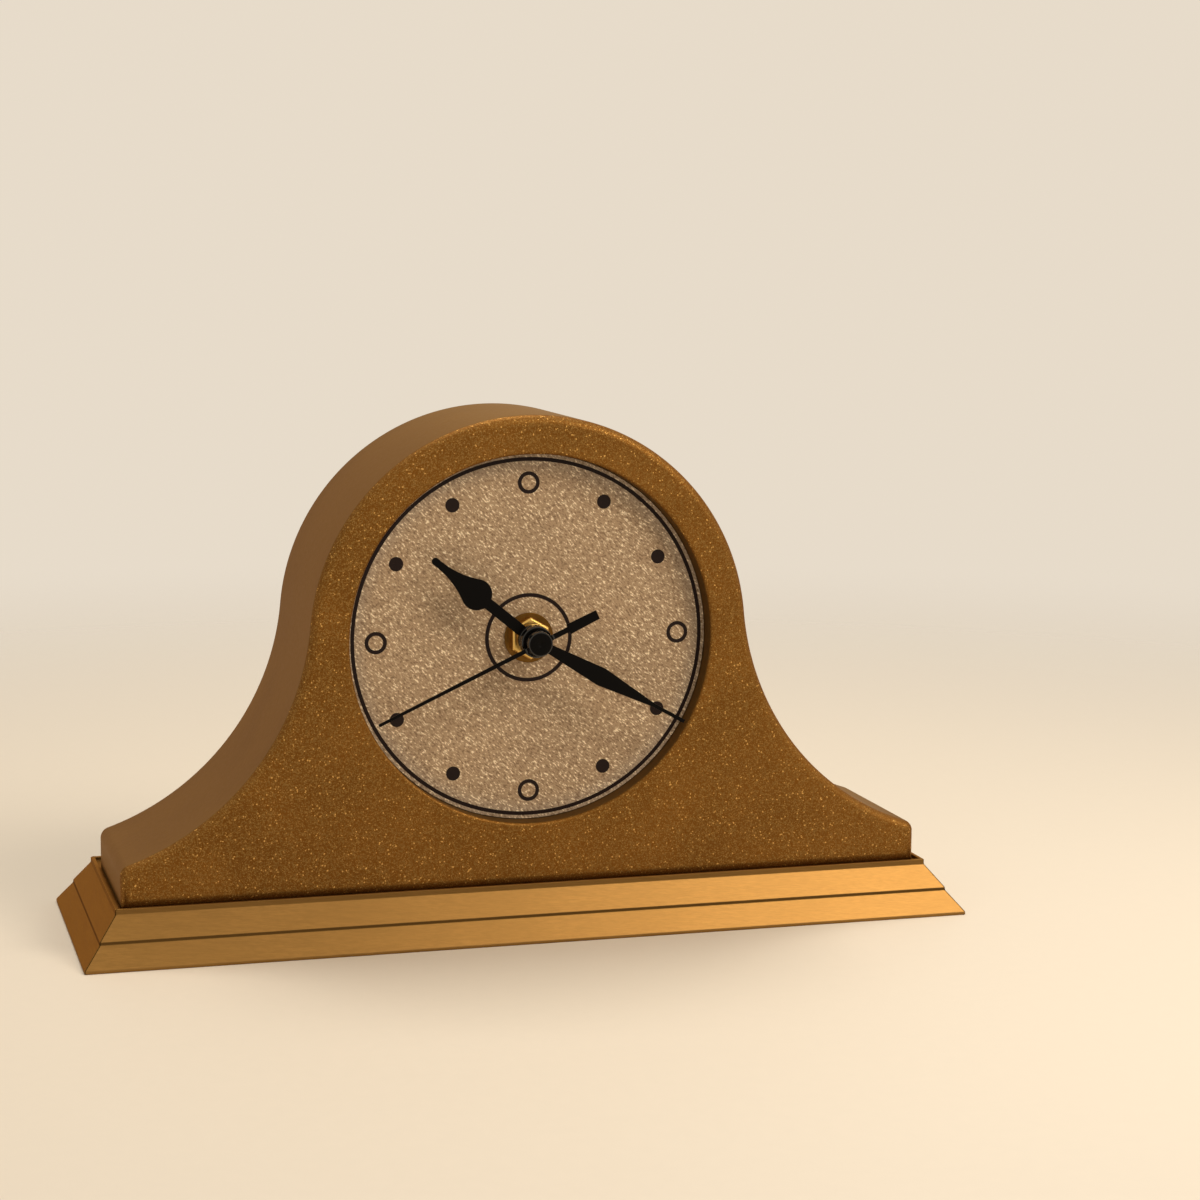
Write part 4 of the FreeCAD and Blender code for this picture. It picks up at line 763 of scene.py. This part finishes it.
class CLOCK_OT_base(Maker, bpy.types.Operator):
    """Four brushed mouldings, mitred at the corners, round the base board"""

    bl_idname = "clock.base"
    bl_label = "Base mouldings"

    # The moulding's steps in millimetres, from its outer foot inwards: run from the edge, and height
    SECTION = ((0.0, 0.0), (0.0, 0.8), (4.3, 6.2), (4.3, 6.9), (8.8, 12.7), (8.8, 14.1),
               (9.9, 14.1), (9.9, 13.1), (12.0, 13.1), (12.0, 0.0), (0.0, 0.0))

    def rail(self, sizes, name, half_length, reach):
        """One moulding at the front, drawn along its length and mitred at both ends."""
        steps = [(-half_length, run * MM - reach, rise * MM) for run, rise in self.SECTION]
        rail = Pen(name, *steps).raised(Vector((2 * half_length, 0, 0)))
        for hand in (-1, 1):
            open_mesh(rail)
            bpy.ops.mesh.bisect(plane_co=(hand * (half_length - sizes.mitre_gap), -reach, 0),
                                plane_no=(hand, 1, 0), use_fill=True, clear_outer=True)
            close_mesh()
        soften(rail, sizes.moulding_edge)
        return rail

    def make(self, sizes, colours):
        half_width, half_depth = BASE_HIGH.x, -BASE_LOW.y
        front = self.rail(sizes, "moulding_front", half_width, half_depth)
        rear = turned_copy(front, "moulding_rear", math.pi, "Z")
        short = self.rail(sizes, "moulding_short", half_depth, half_width)
        left = turned_copy(short, "moulding_left", -math.pi / 2, "Z")
        right = turn(short, "moulding_right", math.pi / 2, "Z")
        long_finish = brushed_gold(colours, "X", "brushed_long")
        short_finish = brushed_gold(colours, "Y", "brushed_short")
        for rail, finish, node in ((front, long_finish, "base_front"), (rear, long_finish, "base_rear"),
                                   (left, short_finish, "base_left"), (right, short_finish, "base_right")):
            finish_piece(rail, "case", "base_gold", finish, node)


class CLOCK_OT_dial_print(Maker, bpy.types.Operator):
    """Printed circles, quarter-hour rings and hour dots on the leather"""

    bl_idname = "clock.dial_print"
    bl_label = "Dial print"

    def make(self, sizes, colours):
        ink = printed_ink(colours)
        rise, wide = sizes.print_rise, sizes.line_width
        marks = [disc("rim_circle", sizes.outer_line_radius, DIAL_FACE, rise, steps=192,
                      hole=sizes.outer_line_radius - wide),
                 disc("centre_circle", sizes.inner_line_radius, DIAL_FACE, rise,
                      hole=sizes.inner_line_radius - wide)]
        ring = disc("ring_12", sizes.ring_radius, DIAL_FACE, rise, above=sizes.mark_distance, steps=48,
                    hole=sizes.ring_radius - sizes.ring_width)
        dot = disc("dot_12", sizes.dot_radius, DIAL_FACE, rise, above=sizes.mark_distance, steps=36)
        soften(ring, rise / 2, 1)
        soften(dot, rise / 2, 1)
        for hour in range(1, 12):
            kind, source = ("dot", dot) if hour % 3 else ("ring", ring)
            marks.append(turned_copy(source, f"{kind}_{hour}", TURN * hour / 12))
        marks.append(ring)
        work_on(dot)
        bpy.ops.object.delete()
        for mark in marks:
            finish_piece(mark, "case", "dial_leather", ink)


class CLOCK_OT_clamp(Maker, bpy.types.Operator):
    """Washer, hexagon nut and threaded bush at the dial's centre"""

    bl_idname = "clock.clamp"
    bl_label = "Nut, washer and bush"

    def make(self, sizes, colours):
        thick = WASHER_HIGH.y - WASHER_LOW.y
        washer = disc("washer", (WASHER_HIGH.x - WASHER_LOW.x) / 2, WASHER_HIGH.y, thick,
                      hole=sizes.bush_radius + sizes.washer_gap)
        soften(washer, sizes.washer_edge, 3)
        finish_piece(washer, "case", "washer_brass",
                     turned_metal("dark_brass", colours.dark_brass, 0.26, 0.5), "brass_washer")

        thick = NUT_HIGH.y - NUT_LOW.y
        nut = disc("nut", (NUT_HIGH.z - NUT_LOW.z) / 2, NUT_HIGH.y, thick, steps=6)
        round_edges(nut, sizes.nut_edge, 1, lambda edge: in_plane(edge, NUT_LOW.y))
        combine(nut, disc("nut_bore", sizes.bush_radius, NUT_HIGH.y + MM, thick + 2 * MM))
        soften(nut, sizes.nut_burr, 1, 15.0)
        polished = turned_metal("bright_brass", colours.bright_brass, 0.20, 0.25)
        finish_piece(nut, "case", "nut_brass", polished, "hex_nut", sharper_than=12.0)

        low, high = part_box("threaded_bush")
        outer, bore, pitch = sizes.bush_radius, sizes.bush_bore, sizes.thread_pitch
        root, ease = outer - sizes.thread_depth, sizes.bush_edge
        pen = Pen("bush", spot(bore, high.y), spot(bore, low.y + ease), spot(bore + ease, low.y),
                  spot(root, low.y))
        depth = low.y
        while depth + pitch < DIAL_HIGH.y:
            pen.line(spot(outer, depth + pitch / 2), spot(root, depth + pitch))
            depth += pitch
        pen.line(spot(outer, depth + pitch / 2), spot(outer, high.y), spot(bore, high.y))
        bush = pen.turned(64)
        thick = sizes.flange_thick
        extent = (high.x - low.x, thick, high.z - low.z)
        flange = block("bush_flange", spot(0, high.y - thick / 2), extent)
        soften(flange, sizes.flange_edge)
        combine(flange, disc("flange_bore", root, high.y + MM, thick + 2 * MM))
        combine(bush, flange, "UNION")
        finish_piece(bush, "case", "plain_brass",
                     turned_metal("thread_brass", colours.bright_brass, 0.3, 0.5), "threaded_bush")


class CLOCK_OT_hands(Maker, bpy.types.Operator):
    """Leaf-shaped hour hand, lozenge minute hand and thin seconds hand with its cap"""

    bl_idname = "clock.hands"
    bl_label = "Hands"

    # Right sides of the two straight blades in millimetres: across, and along from the axis
    MINUTE_SIDE = [(0.95, 0.0), (2.39, 19.4), (2.45, 20.2), (2.37, 21.0), (0.5, 37.0), (0.5, 46.6)]
    SECONDS_SIDE = [(1.25, -17.2), (1.4, -8.5), (0.7, -8.5), (0.7, 0.0), (0.57, 0.0), (0.39, 47.0)]

    def blade(self, sizes, pen):
        """A drawn outline as a thin blade with eased edges."""
        blade = pen.raised(AHEAD * sizes.blade_thick)
        soften(blade, sizes.blade_edge, 2, 50.0)
        return blade

    def hub(self, sizes, node, radius, bore, dimple=0.0):
        """A hub with a rounded rim and a bore, or a closed cap with a dimple."""
        low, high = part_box(node)
        front, back, rim = low.y, high.y, sizes.hub_edge
        ease, cap = 0.15 * MM, 1.2 * MM
        pen = Pen("hub", spot(bore, back), spot(radius - rim / 3, back), spot(radius, back - rim / 3),
                  spot(radius, front + rim), spot(radius - rim * HALFWAY, front + rim * HALFWAY),
                  spot(radius - rim, front))
        if dimple:
            pen.line(spot(dimple + 0.25 * MM, front), spot(dimple, front + 0.06 * MM),
                     spot(0.6 * dimple, front + 0.2 * MM), spot(0, front + 0.25 * MM),
                     spot(0, back - cap), spot(bore, back - cap))
        else:
            pen.line(spot(bore + ease, front), spot(bore, front + ease))
        pen.line(spot(bore, back))
        return pen.turned(72)

    def hour(self, sizes):
        """The hour hand with its round bulb and hollow sides, drawn pointing to twelve."""
        stem, bulb, tip, flank = 1.5 * MM, 4.1 * MM, 1.0 * MM, 24.0 * MM
        low, high = 19.8 * MM, 34.0 * MM
        span = high - low
        along, aside = meeting(flank + bulb, flank + tip, span)

        def at(right, above):
            return Vector((right, DIAL_FACE - sizes.hour_ahead, AXIS_HEIGHT + above))

        notch = low - math.sqrt(bulb ** 2 - stem ** 2)
        bulb_centre, tip_centre = at(0, low), at(0, high)
        left, right = at(-aside, low + along), at(aside, low + along)
        pen = Pen("hour_blade", at(-stem, 0), at(-stem, notch))
        for centre, target, steps in (
                (bulb_centre, bulb_centre - RIGHTWARD, 12), (bulb_centre, left, 12), (left, tip_centre, 14),
                (tip_centre, tip_centre + UPWARD, 8), (tip_centre, right, 8), (right, bulb_centre, 14),
                (bulb_centre, bulb_centre + RIGHTWARD, 12), (bulb_centre, at(stem, notch), 12)):
            pen.arc(centre, target, steps)
        pen.line(at(stem, 0), at(-stem, 0))
        return self.blade(sizes, pen)

    def straight(self, sizes, name, ahead, side):
        """A straight blade, drawn pointing to twelve from the points of its right side."""
        ring = side + [(-across, along) for across, along in reversed(side)] + side[:1]
        points = [(across * MM, DIAL_FACE - ahead, AXIS_HEIGHT + along * MM) for across, along in ring]
        return self.blade(sizes, Pen(name, *points))

    def make(self, sizes, colours):
        hub, cap = sizes.hub_radius, sizes.cap_radius
        black = black_lacquer(colours, (cap, hub))
        hour = self.hour(sizes)
        minute = self.straight(sizes, "minute_blade", sizes.minute_ahead, self.MINUTE_SIDE)
        seconds = self.straight(sizes, "seconds_blade", sizes.seconds_ahead, self.SECONDS_SIDE)
        made = (("hour_hand", "hours", hour, sizes.hour_angle, hub, 2.5 * MM, 0.0),
                ("minute_hand", "minutes", minute, sizes.minute_angle, hub, 1.6 * MM, 0.0),
                ("second_hand", "seconds", seconds, sizes.seconds_angle, cap, 0.5 * MM, 0.7 * MM))
        for node, body, hand, clockwise, radius, bore, dimple in made:
            combine(hand, self.hub(sizes, node, radius, bore, dimple), "UNION")
            turn(hand, node.replace("second_", "seconds_") + "_piece", clockwise)
            finish_piece(hand, body, "hand_black", black, node)


class CLOCK_OT_housing(Maker, bpy.types.Operator):
    """Housing, cover and knob of the movement with eased edges, and the battery cell"""

    bl_idname = "clock.housing"
    bl_label = "Movement housing and cell"

    def eased(self, node, name, width):
        """A copy of a node with its facets joined and its edges rounded."""
        work_on(frame["nodes"][node])
        bpy.ops.object.duplicate()
        bpy.ops.object.parent_clear(type="CLEAR_KEEP_TRANSFORM")
        piece = settle(name)
        for key in [key for key in piece.keys() if key.startswith("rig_")]:
            del piece[key]
        open_mesh(piece)
        bpy.ops.mesh.remove_doubles(threshold=WELD)
        bpy.ops.mesh.dissolve_limited(angle_limit=math.radians(1.0))
        close_solid(piece)
        soften(piece, width, 2, 40.0)
        return piece

    def cell(self, colours):
        """The battery cell: a rolled jacket, a flat foot at one end and a nub at the other."""
        low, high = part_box("battery_cell")
        across, height = (low.y + high.y) / 2, (low.z + high.z) / 2
        radius, roll = (high.z - low.z) / 2, 0.5 * MM
        foot, nub, head = low.x, high.x - 1.0 * MM, high.x
        profile = [(foot, 0.0), (foot, 0.62 * radius), (foot + 0.2 * MM, 0.68 * radius),
                   (foot + 0.2 * MM, radius - roll), (foot + 0.35 * MM, radius - 0.3 * roll),
                   (foot + 0.7 * MM, radius), (nub - 0.7 * MM, radius),
                   (nub - 0.3 * MM, radius - 0.3 * roll), (nub - 0.15 * MM, radius - roll),
                   (nub - 0.3 * MM, 0.5 * radius), (nub, 0.44 * radius), (nub, 0.37 * radius),
                   (head - 0.2 * MM, 0.36 * radius), (head, 0.32 * radius), (head, 0.0)]
        points = [(along, across, height + out) for along, out in profile]
        cell = Pen("battery", *points).turned(72, (0, across, height), RIGHTWARD)
        finish_piece(cell, "case", "cell_jacket", cell_jacket(colours, foot, nub), "battery_cell",
                     sharper_than=50.0)

    def make(self, sizes, colours):
        plastic = grained("moulded_black", colours.moulded, 0.42, 0.35 * MM, 0.02 * MM)
        knob_plastic = grained("knob_black", colours.moulded, 0.34, 0.5 * MM, 0.012 * MM)
        for node, width, body, finish in (("movement_case", 0.25 * MM, "case", plastic),
                                          ("movement_cover", 0.2 * MM, "case", plastic),
                                          ("setting_knob", 0.12 * MM, "knob", knob_plastic)):
            piece = self.eased(node, node + "_eased", width)
            finish_piece(piece, body, "movement_plastic", finish, node)
        self.cell(colours)


class CLOCK_OT_movement(Maker, bpy.types.Operator):
    """Finishes of the movement, its train and the other pieces that keep the frame's shape"""

    bl_idname = "clock.movement"
    bl_label = "Movement finishes"

    def make(self, sizes, colours):
        plastic = grained("moulded_plate", colours.moulded, 0.48, 0.35 * MM, 0.02 * MM)
        acetal = grained("acetal", colours.acetal, 0.38, 0.8 * MM, 0.01 * MM, contrast=0.06)
        steel = grained("bright_steel", colours.steel, 0.28, 0.25 * MM, 0.01 * MM, metallic=1.0,
                        contrast=0.12, stretch=(1, 1, 5))
        board = grained("board_gold", colours.board, 0.46, 0.6 * MM, 0.02 * MM, metallic=0.5,
                        stretch=(10, 1, 1))
        brass = turned_metal("pipe_brass", colours.bright_brass, 0.22, 0.3)
        magnet = grained("sintered_magnet", darker(colours.steel, 0.16), 0.5, 0.2 * MM, 0.02 * MM,
                         metallic=0.5)
        finishes = (
            (board, "base_board"),
            (steel, "case_screws motor_stator coil_core quartz_crystal positive_contact negative_contact"),
            (dial_leather(colours), "leather_dial"),
            (grained("soft_rubber", colours.rubber, 0.7, 0.3 * MM, 0.02 * MM), "rubber_washer"),
            (brass, "minute_cannon"),
            (plastic, "mid_plate"),
            (magnet, "motor_rotor"),
            (acetal, "intermediate_wheel seconds_wheel third_wheel centre_wheel minute_wheel hour_wheel"),
            (acetal, "coil_bobbin"),
            (wound_wire(colours), "coil_winding"),
            (grained("green_laminate", colours.laminate, 0.3, 0.4 * MM, 0.01 * MM), "circuit_board"))
        for finish, names in finishes:
            for name in names.split():
                node = frame["nodes"][name]
                node.data.materials.clear()
                node.data.materials.append(finish.material)
                work_on(node)
                bpy.ops.object.shade_smooth_by_angle(angle=math.radians(20))


# The stage


class CLOCK_OT_stage(Maker, bpy.types.Operator):
    """Pale floor, soft lamps, plain background and the camera"""

    bl_idname = "clock.stage"
    bl_label = "Stage"

    # Each lamp's name, place and size in metres, power in watts, and colour
    LAMPS = (("key_lamp", (0.40, -0.40, 0.55), 0.30, 3.2, (1.0, 0.89, 0.74)),
             ("fill_lamp", (-0.95, -0.80, 0.55), 0.9, 1.3, (1.0, 0.95, 0.88)),
             ("rim_lamp", (0.05, 0.30, 0.95), 0.45, 4.8, (1.0, 0.92, 0.80)))

    def lamp(self, name, place, size, watts, rgb):
        """A soft square lamp that looks at the clock."""
        bpy.ops.object.light_add(type="AREA", location=place)
        lamp = bpy.context.object
        lamp.name = name
        lamp.data.size = size
        lamp.data.energy = watts
        lamp.data.color = rgb
        target = Vector((0, 0, AXIS_HEIGHT))
        lamp.rotation_euler = (target - Vector(place)).to_track_quat("-Z", "Y").to_euler()

    def floor(self, colours):
        """A round pale floor that fades into the background far from the clock."""
        bpy.ops.mesh.primitive_circle_add(vertices=96, radius=1.6, fill_type="NGON", location=(0, 0, 0))
        floor = settle("floor")
        finish = Finish("pale_floor")
        lumps = finish.noise(4 * MM, 3.0)
        finish.base(finish.tones(lumps, colours.floor, 0.985, 1.015))
        finish.rough(0.55 + lumps * 0.1)
        away = finish.node("ShaderNodeVectorMath", {0: finish.place}, operation="LENGTH")
        clear = finish.node("ShaderNodeBsdfTransparent")
        fade = Level(finish, away.outputs["Value"]).between(0.16, 0.80)
        both = finish.node("ShaderNodeMixShader",
                           {0: fade, 1: finish.shader.outputs[0], 2: clear.outputs[0]})
        finish.feed(finish.tree.nodes["Material Output"].inputs["Surface"], both.outputs[0])
        floor.data.materials.append(finish.material)

    def background(self, colours):
        """The plain background as the camera, metal and glass see it, and dimmer light for the rest."""
        world = bpy.data.worlds.new("studio")
        bpy.context.scene.world = world
        world.use_nodes = True
        world.node_tree.nodes.clear()
        studio = Nodes(world.node_tree)
        path = studio.node("ShaderNodeLightPath").outputs
        direct = Level(studio, path["Is Camera Ray"])
        for kind in ("Is Glossy Ray", "Is Transmission Ray"):
            direct = direct.sum("MAXIMUM", direct, path[kind])
        soft, plain = (
            studio.node("ShaderNodeBackground", {"Color": colours.backdrop, "Strength": strength})
            for strength in (0.42, 1.0))
        both = studio.node("ShaderNodeMixShader", {0: direct, 1: soft.outputs[0], 2: plain.outputs[0]})
        studio.node("ShaderNodeOutputWorld", {"Surface": both.outputs[0]})

    def camera(self):
        """The camera at the photograph's viewing angle."""
        bpy.ops.object.camera_add(location=(-181.9 * MM, -724.5 * MM, 187.3 * MM))
        camera = bpy.context.object
        camera.name = "camera"
        camera.data.sensor_width = 36.0
        camera.data.lens = 83.37
        camera.data.clip_start = 0.01
        bpy.context.scene.camera = camera
        yaw, pitch, roll = math.radians(16.01), math.radians(7.756), math.radians(0.27)
        look = Vector((math.sin(yaw) * math.cos(pitch), math.cos(yaw) * math.cos(pitch), -math.sin(pitch)))
        camera.rotation_euler = look.to_track_quat("-Z", "Y").to_euler()
        camera.rotation_euler.rotate_axis("Z", roll)

    def make(self, sizes, colours):
        bpy.context.scene.view_settings.view_transform = "Standard"
        self.floor(colours)
        self.background(colours)
        for values in self.LAMPS:
            self.lamp(*values)
        self.camera()


class CLOCK_PT_panel(bpy.types.Panel):
    """Lists the clock's pieces in the sidebar"""

    bl_label = "Shelf clock"
    bl_idname = "CLOCK_PT_panel"
    bl_space_type = "VIEW_3D"
    bl_region_type = "UI"
    bl_category = "Clock"

    def draw(self, context):
        for operator in OPERATORS:
            self.layout.operator(operator.bl_idname)


OPERATORS = (CLOCK_OT_stage, CLOCK_OT_case, CLOCK_OT_base, CLOCK_OT_dial_print, CLOCK_OT_clamp,
             CLOCK_OT_hands, CLOCK_OT_housing, CLOCK_OT_movement)
CLASSES = (ClockSizes, ClockColours, *OPERATORS, CLOCK_PT_panel)


def register():
    for made in CLASSES:
        bpy.utils.register_class(made)
    bpy.types.Scene.clock_sizes = PointerProperty(type=ClockSizes)
    bpy.types.Scene.clock_colours = PointerProperty(type=ClockColours)


def unregister():
    del bpy.types.Scene.clock_sizes
    del bpy.types.Scene.clock_colours
    for made in reversed(CLASSES):
        bpy.utils.unregister_class(made)


def main():
    register()
    bpy.ops.clock.stage()
    bpy.ops.clock.case()
    bpy.ops.clock.base()
    bpy.ops.clock.dial_print()
    bpy.ops.clock.clamp()
    bpy.ops.clock.hands()
    bpy.ops.clock.housing()
    bpy.ops.clock.movement()


if __name__ == "__main__":
    main()
